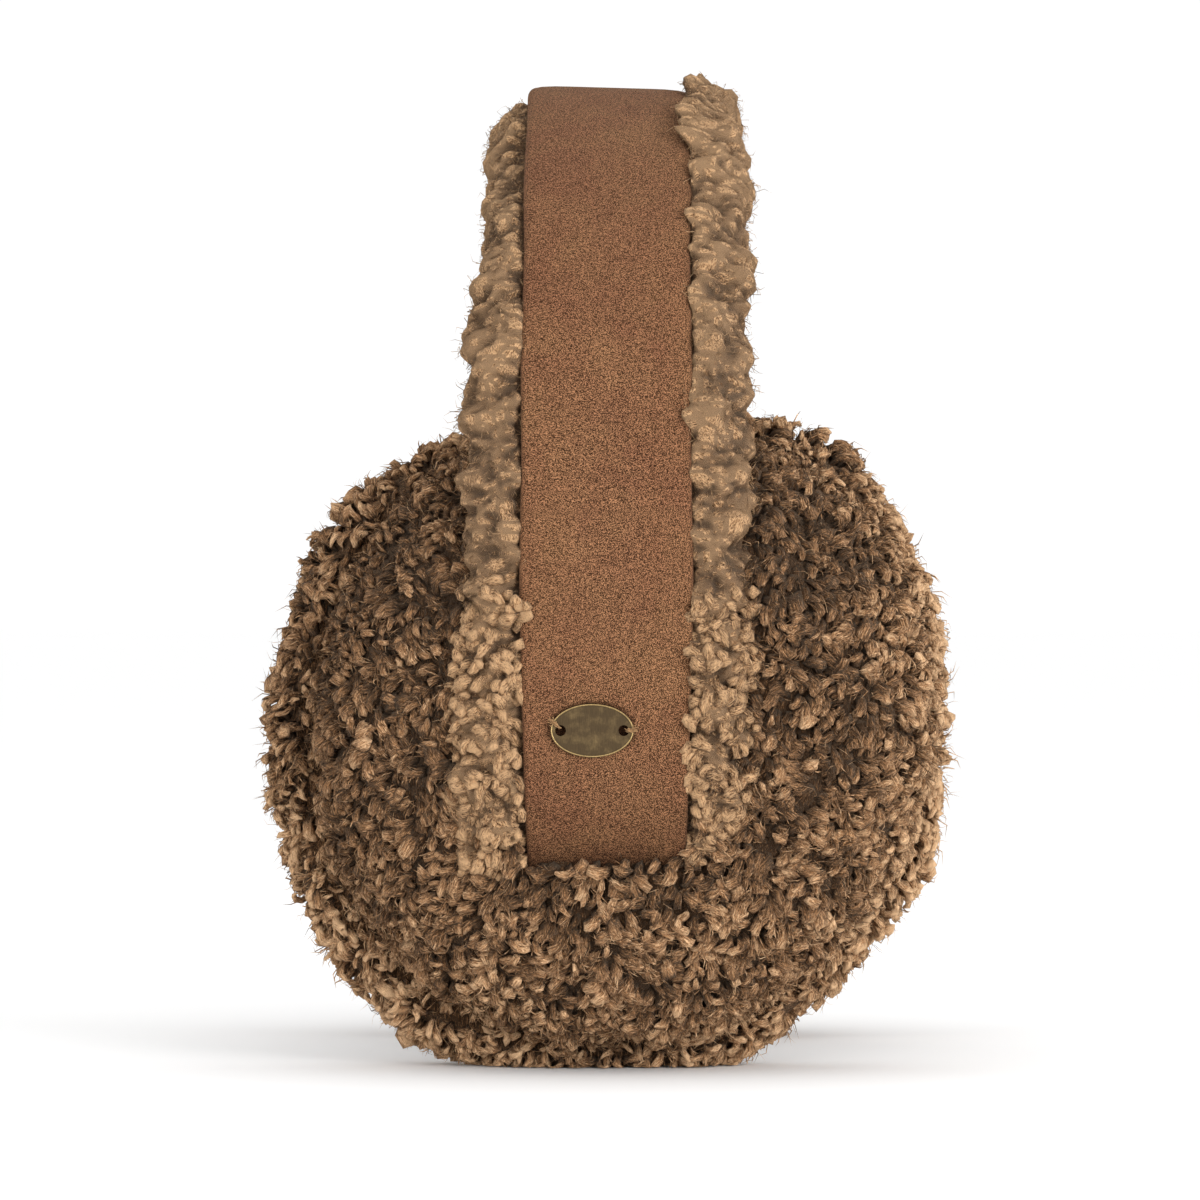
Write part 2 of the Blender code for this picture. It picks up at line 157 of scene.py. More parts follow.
class EarmuffsWool(bpy.types.PropertyGroup):
    """Wool of the pads and the lining."""

    outer_locks: IntProperty(name="Outer cover locks", description="Curled locks on each outer cover", default=4100)
    inner_locks: IntProperty(name="Inner cover locks", description="Curled locks on each inner cover", default=3100)
    pad_fibres: IntProperty(name="Pad fibres", description="Stray fibres on each cover", default=1000)
    band_fibres: IntProperty(name="Band fibres", description="Curled fibres on the lining", default=15000)
    root_depth: FloatProperty(
        name="Root depth", description="From the wool's surface to the roots", default=0.0040, unit="LENGTH"
    )
    skin_depth: FloatProperty(
        name="Skin depth", description="From the wool's surface to the backing", default=0.0030, unit="LENGTH"
    )
    lock_length: FloatProperty(
        name="Lock length", description="Length of a curled lock", default=0.0064, unit="LENGTH"
    )
    swell: FloatProperty(
        name="Swell", description="Soft rise and fall of the wool", default=0.0006, unit="LENGTH"
    )
    lock_radius: FloatProperty(
        name="Lock radius", description="Half the thickness of a curled lock", default=0.00102, unit="LENGTH"
    )
    strand_radius: FloatProperty(
        name="Strand radius", description="Half the thickness of a strand", default=0.00013, unit="LENGTH"
    )
    low_locks: IntProperty(name="Low locks", description="Curled locks on the lining beside the pads", default=900)
    low_lock_length: FloatProperty(
        name="Low lock length", description="Length of a lock on the low lining", default=0.0046, unit="LENGTH"
    )
    tuft_height: FloatProperty(
        name="Tuft height", description="Rise and fall of the lining's tufts", default=0.0009, unit="LENGTH"
    )
    curl_size: FloatProperty(
        name="Curl size", description="Width of a small curl of the lining", default=0.0016, unit="LENGTH"
    )
    curl_height: FloatProperty(
        name="Curl height", description="Height of a small curl of the lining", default=0.0016, unit="LENGTH"
    )
    band_fibre_length: FloatProperty(
        name="Band fibre length", description="Length of a fibre of the lining", default=0.0036, unit="LENGTH"
    )
    band_fibre_radius: FloatProperty(
        name="Band fibre radius", description="Half the thickness of a lining fibre", default=0.00007, unit="LENGTH"
    )
    fibre_radius: FloatProperty(
        name="Fibre radius", description="Half the thickness of a stray fibre", default=0.00005, unit="LENGTH"
    )
    clump_size: FloatProperty(
        name="Clump size", description="Width of a clump of locks", default=0.009, unit="LENGTH"
    )
    dark: FloatVectorProperty(
        name="Root", description="Colour at the roots", default=(0.065, 0.030, 0.012), subtype="COLOR"
    )
    middle: FloatVectorProperty(
        name="Middle", description="Colour along the locks", default=(0.385, 0.197, 0.089), subtype="COLOR"
    )
    light: FloatVectorProperty(
        name="Tip", description="Colour at the tips", default=(0.80, 0.51, 0.285), subtype="COLOR"
    )
    lining_dark: FloatVectorProperty(
        name="Lining root", description="Colour at the lining's roots", default=(0.10, 0.050, 0.024), subtype="COLOR"
    )
    lining_middle: FloatVectorProperty(
        name="Lining", description="Colour of the lining", default=(0.297, 0.162, 0.075), subtype="COLOR"
    )
    lining_light: FloatVectorProperty(
        name="Lining tip", description="Colour of the lining's tips", default=(0.605, 0.368, 0.192), subtype="COLOR"
    )


class EarmuffsBand(bpy.types.PropertyGroup):
    """Suede strip."""

    edge_round: FloatProperty(
        name="Edge rounding", description="Rounding of the turned edges", default=0.0012, unit="LENGTH"
    )
    waviness: FloatProperty(
        name="Waviness", description="How far the edges wander", default=0.0003, unit="LENGTH"
    )
    suede: FloatVectorProperty(
        name="Suede", description="Colour of the suede", default=(0.0895, 0.041, 0.0213), subtype="COLOR"
    )
    suede_worn: FloatVectorProperty(
        name="Worn suede", description="Lighter patches", default=(0.105, 0.0525, 0.0258), subtype="COLOR"
    )


class EarmuffsPlate(bpy.types.PropertyGroup):
    """Oval metal plate and its stitches."""

    rim_width: FloatProperty(
        name="Rim width", description="Width of the raised rim", default=0.00032, unit="LENGTH"
    )
    field_depth: FloatProperty(
        name="Field depth", description="Depth of the field below the rim", default=0.0002, unit="LENGTH"
    )
    hole_radius: FloatProperty(
        name="Hole radius", description="Radius of a stitch hole", default=0.00105, unit="LENGTH"
    )
    hole_inset: FloatProperty(
        name="Hole inset", description="From the plate's end to a hole's middle", default=0.0019, unit="LENGTH"
    )
    thread_radius: FloatProperty(
        name="Thread", description="Radius of one ply of the thread", default=0.00013, unit="LENGTH"
    )
    brass: FloatVectorProperty(
        name="Brass", description="Worn brass", default=(0.30, 0.205, 0.085), subtype="COLOR"
    )
    patina: FloatVectorProperty(
        name="Patina", description="Dark patina", default=(0.050, 0.0315, 0.013), subtype="COLOR"
    )
    thread: FloatVectorProperty(
        name="Thread colour", description="Colour of the stitches", default=(0.30, 0.17, 0.075), subtype="COLOR"
    )


class EarmuffsStudio(bpy.types.PropertyGroup):
    """Floor, lights and camera."""

    distance: FloatProperty(
        name="Distance", description="From the camera to the plate's side", default=1.30, unit="LENGTH"
    )
    camera_height: FloatProperty(
        name="Height", description="Height of the camera", default=0.0927, unit="LENGTH"
    )
    azimuth: FloatProperty(
        name="Azimuth", description="How far the camera stands to the right", default=math.radians(0.6), subtype="ANGLE"
    )
    lens: FloatProperty(name="Lens", description="Focal length in millimetres", default=202.4)
    sky: FloatProperty(name="Surround", description="Strength of the white surround", default=1.03)
    key: FloatProperty(name="Key light", description="Power of the key light in watts", default=13.0)
    fill: FloatProperty(name="Fill light", description="Power of the fill light in watts", default=5.0)
    top: FloatProperty(name="Top light", description="Power of the top light in watts", default=1.0)


def smooth_rows(rows, count):
    """Evenly spaced points on a smooth curve through the rows of a table."""
    knots = np.array(rows)
    padded = np.vstack((knots[:1], knots, knots[-1:]))
    place = np.linspace(0, len(knots) - 1, count)
    k = np.minimum(place.astype(int), len(knots) - 2)
    t = (place - k)[:, None]
    a, b, c, d = (padded[k + step] for step in range(4))
    bend = (2 * a - 5 * b + 4 * c - d) * t**2 + (3 * b - a - 3 * c + d) * t**3
    return 0.5 * (2 * b + (c - a) * t + bend)


def outline_share(angle):
    """The pad's radius in each direction, as a share of the cover's radius."""
    shares = np.array([row[1] for row in PAD_OUTLINE])
    place = np.degrees(angle) % 360 * len(shares) / 360
    k = place.astype(int) % len(shares)
    blend = 0.5 - 0.5 * np.cos(np.pi * (place - np.floor(place)))
    return shares[k] * (1 - blend) + shares[(k + 1) % len(shares)] * blend


# Covers of the pads
# Columns: side's name, side, layer, share of the locks, strands, strands in a piece beside it
COVERS = (
    ("left", NEAR, "outer", 1.0, 3500, 8500),
    ("left", NEAR, "inner", 1.0, 6500, 0),
    ("right", FAR, "outer", 0.75, 1500, 0),
    ("right", FAR, "inner", 0.75, 1500, 0),
)
# Shoulders of the wool behind the near pad
# Columns: angle from level on the right, half the width in degrees, share of the radius
SHOULDERS = ((50, 16, 0.058), (138, 12, 0.032))
SKIN_RINGS = 24
RIM_CROWDING = 1.6
LOCK_CLEARANCE = 0.0065
SEAM_RING_SHARE = 0.82
LOCK_SIZE_SPREAD = 0.25
# Painted light: how much lighter the pads' wool is low down, where light from the low front falls
LOW_PAINTED_LIGHT = 0.20
# Painted light: how much lighter the lining is at the top, where the light falls from above
TOP_PAINTED_LIGHT = 0.12
RIM_LIGHTER = 0.19
# Painted light: how much lighter every cover's wool is towards +X, where the key light falls from the right
RIGHT_PAINTED_LIGHT = 0.46
CHANNEL_HALF = 0.0235
CHANNEL_SINK = 0.004
FALL = (0.0, 0.0, -0.45)


def unit(vectors):
    return vectors / (np.linalg.norm(vectors, axis=-1, keepdims=True) + TINY)


def flatten_to(vectors, normals):
    """The part of each vector that lies across its normal, at unit length."""
    return unit(vectors - (vectors * normals).sum(-1, keepdims=True) * normals)


def random_directions(count, draw):
    return unit(draw.standard_normal((count, 3)))


def ease(low, high, value):
    """0 below low, 1 above high and a smooth change between."""
    t = np.clip((value - low) / (high - low), 0, 1)
    return t * t * (3 - 2 * t)


def lock_shape(sides, rings):
    """A straight closed lock of unit length and radius along Z, as points and triangles."""
    bm = bmesh.new()
    bmesh.ops.create_circle(bm, segments=sides, radius=rings[0][1])
    edges = list(bm.edges)
    first = list(edges)
    for (low, thin), (high, thick) in zip(rings, rings[1:]):
        grown = bmesh.ops.extrude_edge_only(bm, edges=edges)["geom"]
        verts = [g for g in grown if isinstance(g, bmesh.types.BMVert)]
        edges = [g for g in grown if isinstance(g, bmesh.types.BMEdge)]
        bmesh.ops.scale(bm, verts=verts, vec=(thick / thin, thick / thin, 1))
        bmesh.ops.translate(bm, verts=verts, vec=(0, 0, high - low))
    bmesh.ops.contextual_create(bm, geom=edges)
    bmesh.ops.contextual_create(bm, geom=first)
    bmesh.ops.remove_doubles(bm, verts=bm.verts, dist=0.01)
    return mesh_arrays(bm)


def mesh_arrays(bm):
    """Points and outward-facing triangles of a bmesh, which is then freed."""
    bmesh.ops.recalc_face_normals(bm, faces=bm.faces)
    bmesh.ops.triangulate(bm, faces=bm.faces)
    bm.verts.index_update()
    points = np.array([v.co for v in bm.verts])
    triangles = np.array([[v.index for v in f.verts] for f in bm.faces])
    bm.free()
    return points, triangles


def swells(points, seed, lengths=SWELL_LENGTHS):
    """A soft random rise and fall over the points, with a spread of about 1."""
    draw = np.random.default_rng(seed)
    ways = random_directions(SWELL_WAVES, draw) * 2 * np.pi / draw.uniform(*lengths, (SWELL_WAVES, 1))
    phases = draw.uniform(0, 2 * np.pi, SWELL_WAVES)
    return np.sin(points @ ways.T + phases).sum(1) / math.sqrt(SWELL_WAVES / 2)


class Locks:
    """Many curling locks, each an entry in every array.

    A lock starts at its root, rises along one direction and curls over towards another. Its tone
    is given at the root, with how much it gains up to the tip.
    """

    def __init__(self, roots, rising, curling, lengths, radii, bends, tones, gains):
        self.parts = (roots, rising, curling, lengths, radii, bends, tones, gains)
        self.roots, self.rising, self.curling, self.lengths = roots, rising, curling, lengths
        self.radii, self.bends, self.tones, self.gains = radii, bends, tones, gains
        steps = np.linspace(0, 1, BEND_STEPS + 1)
        self.heading = bends[:, None] * steps**CURL_POWER
        step_length = lengths[:, None] / BEND_STEPS
        self.rise = np.cumsum(np.cos(self.heading) * step_length, axis=1) - step_length
        self.drift = np.cumsum(np.sin(self.heading) * step_length, axis=1)

    def pick(self, rows):
        return Locks(*(part[rows] for part in self.parts))

    def grown(self, shape, draw, lumps):
        """Copies of a lock shape along the curls.

        Returns points, triangles, tones, and each point's place in the straight lock, which the
        fibre pattern follows.
        """
        points, triangles = shape
        count, along = len(self.roots), points[:, 2]
        at = np.rint(along * BEND_STEPS).astype(int)
        twist = draw.uniform(0, 2 * np.pi, (count, 1)) + draw.uniform(-1.2, 1.2, (count, 1)) * along
        swell = self.radii[:, None] * (1 + lumps * draw.standard_normal((count, len(points))))
        x = swell * (points[:, 0] * np.cos(twist) - points[:, 1] * np.sin(twist))
        y = swell * (points[:, 0] * np.sin(twist) + points[:, 1] * np.cos(twist))
        wave = np.sin(along * 7 + draw.uniform(0, 6, (count, 1)))
        sway = self.lengths[:, None] * 0.06 * wave * along
        up = self.rise[:, at] - x * np.sin(self.heading[:, at])
        aside = self.drift[:, at] + x * np.cos(self.heading[:, at])
        across = np.cross(self.rising, self.curling)
        placed = (
            self.roots[:, None]
            + up[..., None] * self.rising[:, None]
            + aside[..., None] * self.curling[:, None]
            + (y + sway)[..., None] * across[:, None]
        )
        straight = np.stack((x, y, np.broadcast_to(along * self.lengths[:, None], x.shape)), axis=-1)
        straight = straight + draw.uniform(0, 1, (count, 1, 3))
        # Painted shade: each lock lightens from its dark root to its tip.
        tones = self.tones[:, None] + self.gains[:, None] * along**1.3
        faces = triangles[None] + len(points) * np.arange(count)[:, None, None]
        return placed.reshape(-1, 3), faces.reshape(-1, 3), tones.ravel(), straight.reshape(-1, 3)

    def strands(self, number, radius, draw, spread=0.45):
        """Fine strands that leave the outer side of these locks and carry on along their curls."""
        owner = draw.integers(0, len(self.roots), number)
        share = draw.uniform(0.2, 0.75, number)
        at = np.rint(share * BEND_STEPS).astype(int)
        own = self.pick(owner)
        rows = np.arange(number)
        turned = self.heading[owner, at][:, None]
        point = own.roots + own.rise[rows, at][:, None] * own.rising + own.drift[rows, at][:, None] * own.curling
        ahead = np.cos(turned) * own.rising + np.sin(turned) * own.curling
        inside = np.cos(turned) * own.curling - np.sin(turned) * own.rising
        swing = draw.uniform(-2.0, 2.0, (number, 1))
        out = np.sin(swing) * np.cross(own.rising, own.curling) - np.cos(swing) * inside
        rising = unit(ahead + spread * draw.uniform(0.2, 1.4, (number, 1)) * out)
        left = 1 - share**CURL_POWER
        return Locks(
            point + out * own.radii[:, None] * 0.75,
            rising,
            flatten_to(inside + 0.5 * random_directions(number, draw), rising),
            own.lengths * (1 - share) * draw.uniform(0.9, 1.6, number),
            radius * draw.uniform(0.6, 1.3, number),
            own.bends * left * draw.uniform(0.5, 1.4, number),
            own.tones + own.gains * share**1.3 + draw.normal(0.12, 0.1, number),
            draw.uniform(0.1, 0.4, number),
        )


class Fleece:
    """Collects the backing, locks and fibres of one piece of fleece."""

    def __init__(self):
        self.points, self.triangles, self.tones, self.straights = [], [], [], []
        self.count = 0

    def add(self, points, triangles, tones, straights):
        self.points.append(points)
        self.triangles.append(triangles + self.count)
        self.tones.append(tones)
        self.straights.append(straights)
        self.count += len(points)

    def add_backing(self, points, triangles, tone):
        self.add(points, triangles, np.full(len(points), tone), points)

    def finish(self, name, material, lowest=None):
        """Makes one object of what was collected, kept above the lowest height."""
        points = np.vstack(self.points)
        if lowest is not None:
            points[:, 2] = np.maximum(points[:, 2], lowest)
        mesh = bpy.data.meshes.new(name)
        mesh.from_pydata(points, [], np.vstack(self.triangles))
        tone = mesh.attributes.new("tone", "FLOAT", "POINT")
        tone.data.foreach_set("value", np.concatenate(self.tones).astype(np.float32))
        straight = mesh.attributes.new("straight", "FLOAT_VECTOR", "POINT")
        straight.data.foreach_set("vector", np.vstack(self.straights).astype(np.float32).ravel())
        mesh.shade_smooth()
        mesh.materials.append(material)
        obj = bpy.data.objects.new(name, mesh)
        bpy.context.scene.collection.objects.link(obj)
        return obj


def declare(obj, slot, *nodes):
    """Attaches a finished piece to the root body and hides the imported nodes it stands for; slot is not used."""
    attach(obj, ROOT)
    if nodes:
        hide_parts(*nodes)
    return obj


class Clumps:
    """Groups locks round scattered middles, which they lean towards."""

    def __init__(self, middles, size, draw):
        self.middles = middles
        self.size = size
        self.directions = random_directions(len(middles), draw)
        self.tones = draw.uniform(-1, 1, len(middles))

    def of(self, roots):
        """For each root: the way to its clump's middle, how far out it is, and the clump's number."""
        best = np.full(len(roots), np.inf)
        nearest = np.zeros(len(roots), dtype=int)
        for k, middle in enumerate(self.middles):
            reach = np.linalg.norm(roots - middle, axis=1)
            closer = reach < best
            best[closer] = reach[closer]
            nearest[closer] = k
        return self.middles[nearest] - roots, np.clip(best / self.size, 0, 1.6), nearest


def shoulder_share(angle):
    """How much further the wool behind the near pad reaches at its shoulders."""
    degrees = np.degrees(angle)[..., None]
    middle, half, share = np.array(SHOULDERS).T
    off = (degrees - middle + 180) % 360 - 180
    return (share * np.exp(-((off / half) ** 2))).sum(-1)


class Cover:
    """The backing of one wool cover of a pad, in the frame of the whole part."""

    def __init__(self, side, outer):
        self.side, self.outer = side, outer
        self.towards = 1 if outer else -1
        self.radius = OUTER_RADIUS if outer else INNER_RADIUS
        self.height = OUTER_HEIGHT if outer else INNER_HEIGHT
        self.shift, self.rise = (OUTER_SHIFT, OUTER_RISE) if outer else (0.0, 0.0)
        rows = smooth_rows(OUTER_PROFILE if outer else INNER_PROFILE, 400)
        if not outer:
            ring = np.linspace(rows[-1, 0], SEAM_RING_SHARE, 30)
            rows = np.vstack((rows, np.stack((ring, 0 * ring), axis=1)[1:]))
        reach = rows[:, 0] * self.radius
        lift = rows[:, 1] * self.height
        if not outer:
            lift = lift - EAR_HOLLOW_DEPTH * np.maximum(0, 1 - (rows[:, 0] / 0.7) ** 2)
        self.profile = np.stack((reach, lift), axis=1)
        slope = np.gradient(self.profile, axis=0)
        self.normals = unit(np.stack((-slope[:, 1], slope[:, 0]), axis=1))
        share = np.linspace(0, 1, len(rows))
        self.crowding = 1.0 + 0 * share if outer else 1 + RIM_CROWDING * ease(0.5, 0.72, share)
        steps = np.linalg.norm(slope, axis=1) * np.maximum(reach, 0) * self.crowding
        self.area_share = np.cumsum(steps) / steps.sum()

    def points(self, count, draw, jitter=0.35, start=0.0):
        """Evenly scattered roots, their normals and their place from middle, 0, to seam, 1."""
        number = np.arange(count) + 0.5
        share = np.clip((number + draw.uniform(-jitter, jitter, count)) / count, 0, 1)
        angle = number * GOLDEN_ANGLE + draw.normal(0, 0.6 * jitter / np.sqrt(number)) + start
        place = np.interp(share, self.area_share, np.linspace(0, len(self.profile) - 1, len(self.profile)))
        rows = np.arange(len(self.profile))
        reach, lift = (np.interp(place, rows, self.profile[:, k]) for k in (0, 1))
        out, up = (np.interp(place, rows, self.normals[:, k]) for k in (0, 1))
        roots = self.place(angle, reach, lift)
        normals = self.turn(np.stack((out * np.cos(angle), out * np.sin(angle), up), axis=1))
        return roots, unit(normals), place / (len(self.profile) - 1)

    def place(self, angle, reach, lift):
        """From the cover's own angle, reach and height to the part's frame."""
        reach = reach * outline_share(angle)
        if self.side == NEAR and not self.outer:
            reach = reach * (1 + shoulder_share(angle))
        base = SEAM_OFFSET + self.towards * PIECE_GAP / 2
        x = -self.side * (reach * np.cos(angle) + self.shift)
        y = self.side * (base + self.towards * lift)
        return np.stack((x, y, PAD_CENTRE_HEIGHT + self.rise + reach * np.sin(angle)), axis=-1)

    def turn(self, vectors):
        """Directions from the cover's own frame to the part's frame."""
        x, up, out = vectors[:, 0], vectors[:, 1], vectors[:, 2]
        return np.stack((-self.side * x, self.side * self.towards * out, up), axis=1)

    def skin(self, depth, swell):
        """The backing as a closed mesh: its profile spun round, with a flat back at the seam."""
        bm = bmesh.new()
        rows = np.rint(np.linspace(0, len(self.profile) - 1, SKIN_RINGS)).astype(int)
        verts = [bm.verts.new((r, 0, h)) for r, h in self.profile[rows] - depth * self.normals[rows]]
        edges = [bm.edges.new(pair) for pair in zip(verts, verts[1:])]
        bmesh.ops.spin(
            bm, geom=verts + edges, cent=(0, 0, 0), axis=(0, 0, 1), angle=2 * math.pi, steps=72, use_merge=True
        )
        bmesh.ops.remove_doubles(bm, verts=bm.verts, dist=depth / 4)
        bmesh.ops.contextual_create(bm, geom=[e for e in bm.edges if e.is_boundary])
        for v in bm.verts:
            v.co.z = max(0.0, v.co.z)
        points, triangles = mesh_arrays(bm)
        placed = self.place(
            np.arctan2(points[:, 1], points[:, 0]), np.hypot(points[:, 0], points[:, 1]), points[:, 2]
        )
        above_seam = points[:, 2] > depth
        rise = above_seam * swell * swells(placed, self.side + 2) - self.sink(placed)
        placed[:, 1] += self.side * self.towards * rise
        return placed, triangles if self.side * self.towards < 0 else triangles[:, ::-1]

    def sink(self, points):
        """How far an outer cover's backing dips to make room for the lined band."""
        if not self.outer:
            return np.zeros(len(points))
        across = 1 - ease(CHANNEL_HALF - 0.002, CHANNEL_HALF + 0.003, np.abs(points[:, 0]))
        above = ease(CHANNEL_MOUTH_HEIGHT, CHANNEL_MOUTH_HEIGHT + 0.005, points[:, 2])
        return CHANNEL_SINK * across * above


def clear_of_band(points):
    """Whether points of an outer cover lie clear of the lined band."""
    across, height = np.abs(points[:, 0]), points[:, 2]
    below_lining = (across > STRIP_WIDTH / 2 + 0.0005) & (height < CHANNEL_MOUTH_HEIGHT + 0.008)
    inside = band_depth(points) > LINING_BOTTOM + LOCK_CLEARANCE
    return (across > CHANNEL_HALF) | (height < CHANNEL_MOUTH_HEIGHT + 0.002) | below_lining | inside


def curled_locks(cover, wool, count, seed, draw):
    """The curled locks of a pad cover, gathered in clumps."""
    roots, normals, place = cover.points(count, draw)
    area = math.pi * (cover.radius**2 + cover.height**2) * 1.1
    middles = cover.points(int(area / wool.clump_size**2), draw, start=1.3)[0]
    clumps = Clumps(middles, wool.clump_size / 1.7, draw)
    roots = roots - normals * wool.root_depth
    if cover.outer:
        kept = clear_of_band(roots)
        roots, normals, place = roots[kept], normals[kept], place[kept]
    count = len(roots)
    inward, spread, number = clumps.of(roots)
    rim = ease(0.62, 0.92, place)
    roots = roots + normals * (wool.swell * swells(roots, cover.side + 2))[:, None]
    lean = 0.35 * np.minimum(spread, 1)[:, None]
    rising = unit(normals + lean * flatten_to(inward, normals) + 0.22 * draw.standard_normal((count, 3)))
    curl_way = clumps.directions[number] * 0.7 + random_directions(count, draw) * 0.8 + np.array(FALL)
    size = draw.uniform(0.85, 1.2, count)
    # Painted shade: locks far out from their clump's middle, in the creases between clumps, are darker.
    tones = 0.10 * clumps.tones[number] + draw.normal(0, 0.08, count) - 0.10 * spread
    # Painted light: lighter low down on the pads.
    tones = tones + LOW_PAINTED_LIGHT * (ease(0.085, 0.02, roots[:, 2]) - 0.3) + (0 if cover.outer else RIM_LIGHTER)
    # Painted light: lighter towards +X, where the key light falls.
    tones = tones + RIGHT_PAINTED_LIGHT * ease(0.045, 0.070, roots[:, 0])
    return Locks(
        roots,
        rising,
        flatten_to(curl_way, rising),
        wool.lock_length * (1 - 0.1 * np.minimum(spread, 1.3) ** 2) * size,
        wool.lock_radius * (1 - 0.25 * rim) * np.exp(LOCK_SIZE_SPREAD * draw.standard_normal(count)),
        draw.uniform(2.5, 4.4, count) * (1 - 0.25 * rim),
        tones,
        np.full(count, 0.86),
    )


def stray_fibres(roots, normals, length, radius, draw, tone=0.75):
    """Fine fibres that stand off the wool."""
    count = len(roots)
    rising = unit(normals + 0.5 * draw.standard_normal((count, 3)))
    return Locks(
        roots,
        rising,
        flatten_to(random_directions(count, draw), rising),
        length * draw.uniform(0.6, 1.3, count),
        np.full(count, radius),
        draw.uniform(0.4, 2.4, count),
        tone + draw.normal(0, 0.1, count),
        np.full(count, 0.2),
    )


def make_cover(name, node, side, outer, seed, locks_wanted, strands_wanted, extra_strands):
    """One wool cover; the strands that would make it too heavy go into a piece beside it."""
    wool = bpy.context.scene.earmuffs_wool
    draw = np.random.default_rng(seed)
    cover = Cover(side, outer)
    material = fleece_material("pad_wool", wool.dark, wool.middle, wool.light, 0.75)
    fleece = Fleece()
    # Painted shade: the backing takes a dark tone so that the gaps between the locks read as shade.
    fleece.add_backing(*cover.skin(wool.skin_depth, wool.swell), 0.05 if outer else 0.22)
    locks = curled_locks(cover, wool, locks_wanted, seed, draw)
    nub, strand = lock_shape(4, NUB_RINGS), lock_shape(3, FIBRE_RINGS)
    fleece.add(*locks.grown(nub, draw, 0.2))
    fleece.add(*locks.strands(strands_wanted, wool.strand_radius, draw).grown(strand, draw, 0))
    roots, normals, _ = cover.points(wool.pad_fibres, draw, jitter=0.5, start=2.1)
    if outer:
        kept = clear_of_band(roots)
        roots, normals = roots[kept], normals[kept]
    strays = stray_fibres(roots - normals * 0.0008, normals, 0.0035, wool.fibre_radius, draw)
    fleece.add(*strays.grown(strand, draw, 0))
    obj = fleece.finish(name, material, FLOOR_CLEARANCE)
    declare(obj, "pad_fleece", node)
    if extra_strands:
        beside = Fleece()
        beside.add(*locks.strands(extra_strands, wool.strand_radius, draw).grown(strand, draw, 0))
        declare(beside.finish(f"{node}_strands", material, FLOOR_CLEARANCE), "pad_fleece")


class EARMUFFS_OT_pads(bpy.types.Operator):
    """Covers both ear pads with curled fleece"""

    bl_idname = "earmuffs.pads"
    bl_label = "Ear pads"

    def execute(self, context):
        wool = context.scene.earmuffs_wool
        for seed, (word, side, layer, share, strands, extra) in enumerate(COVERS, start=20):
            outer = layer == "outer"
            node = f"{word}_pad_{layer}"
            locks = round(share * (wool.outer_locks if outer else wool.inner_locks))
            make_cover(f"{node}_wool", node, side, outer, seed, locks, strands, extra)
        return {"FINISHED"}


def band_place(distance, turn):
    """Points on the strip's outer face and inward directions, by distance from the near tail's end."""
    tail, side = TAIL_RADIUS * turn, CROWN_HEIGHT - TAIL_START_HEIGHT
    half = tail + side + STRIP_RADIUS * math.pi / 2
    hand = np.where(distance < half, NEAR, FAR)
    s = np.minimum(distance, 2 * half - distance)
    bend = turn - s / TAIL_RADIUS
    lift = (s - tail - side) / STRIP_RADIUS
    in_tail, on_side = s < tail, s < tail + side
    in_y = np.select([in_tail, on_side], [-hand * np.cos(bend), -hand + 0 * s], -hand * np.cos(lift))
    in_z = np.select([in_tail, on_side], [np.sin(bend), 0 * s], -np.sin(lift))
    inward = np.stack((0 * s, in_y, in_z), axis=1)
    centre_y = np.where(in_tail, hand * (STRIP_RADIUS - TAIL_RADIUS), 0.0)
    centre_z = np.select([in_tail, on_side], [TAIL_START_HEIGHT + 0 * s, TAIL_START_HEIGHT + s - tail], CROWN_HEIGHT)
    reach = np.where(in_tail, TAIL_RADIUS, STRIP_RADIUS)
    centre = np.stack((0 * s, centre_y, centre_z), axis=1)
    return centre - inward * reach[:, None], inward


def band_length(turn):
    return 2 * (TAIL_RADIUS * turn + CROWN_HEIGHT - TAIL_START_HEIGHT) + math.pi * STRIP_RADIUS


def sweep_band(bm, edges, turn, pitch):
    """Carries a section, already at the near tail's end, along the whole route of the band."""

    def arc(geom, centre, angle, radius):
        steps = max(3, round(radius * abs(angle) / pitch))
        made = bmesh.ops.spin(bm, geom=geom, cent=centre, axis=(1, 0, 0), angle=angle, steps=steps)
        return [g for g in made["geom_last"] if isinstance(g, bmesh.types.BMEdge)]

    def straight(geom, rise):
        steps = max(2, round(abs(rise) / pitch))
        for _ in range(steps):
            made = bmesh.ops.extrude_edge_only(bm, edges=geom)["geom"]
            verts = [g for g in made if isinstance(g, bmesh.types.BMVert)]
            bmesh.ops.translate(bm, verts=verts, vec=(0, 0, rise / steps))
            geom = [g for g in made if isinstance(g, bmesh.types.BMEdge)]
        return geom

    rise = CROWN_HEIGHT - TAIL_START_HEIGHT
    tail_y = STRIP_RADIUS - TAIL_RADIUS
    edges = arc(edges, (0, -tail_y, TAIL_START_HEIGHT), -turn, TAIL_RADIUS)
    edges = straight(edges, rise)
    edges = arc(edges, (0, 0, CROWN_HEIGHT), -math.pi, STRIP_RADIUS)
    edges = straight(edges, -rise)
    edges = arc(edges, (0, tail_y, TAIL_START_HEIGHT), -turn, TAIL_RADIUS)
    return edges


CROWN_DROOP = 0.0011
CROWN_TILT = 0.45


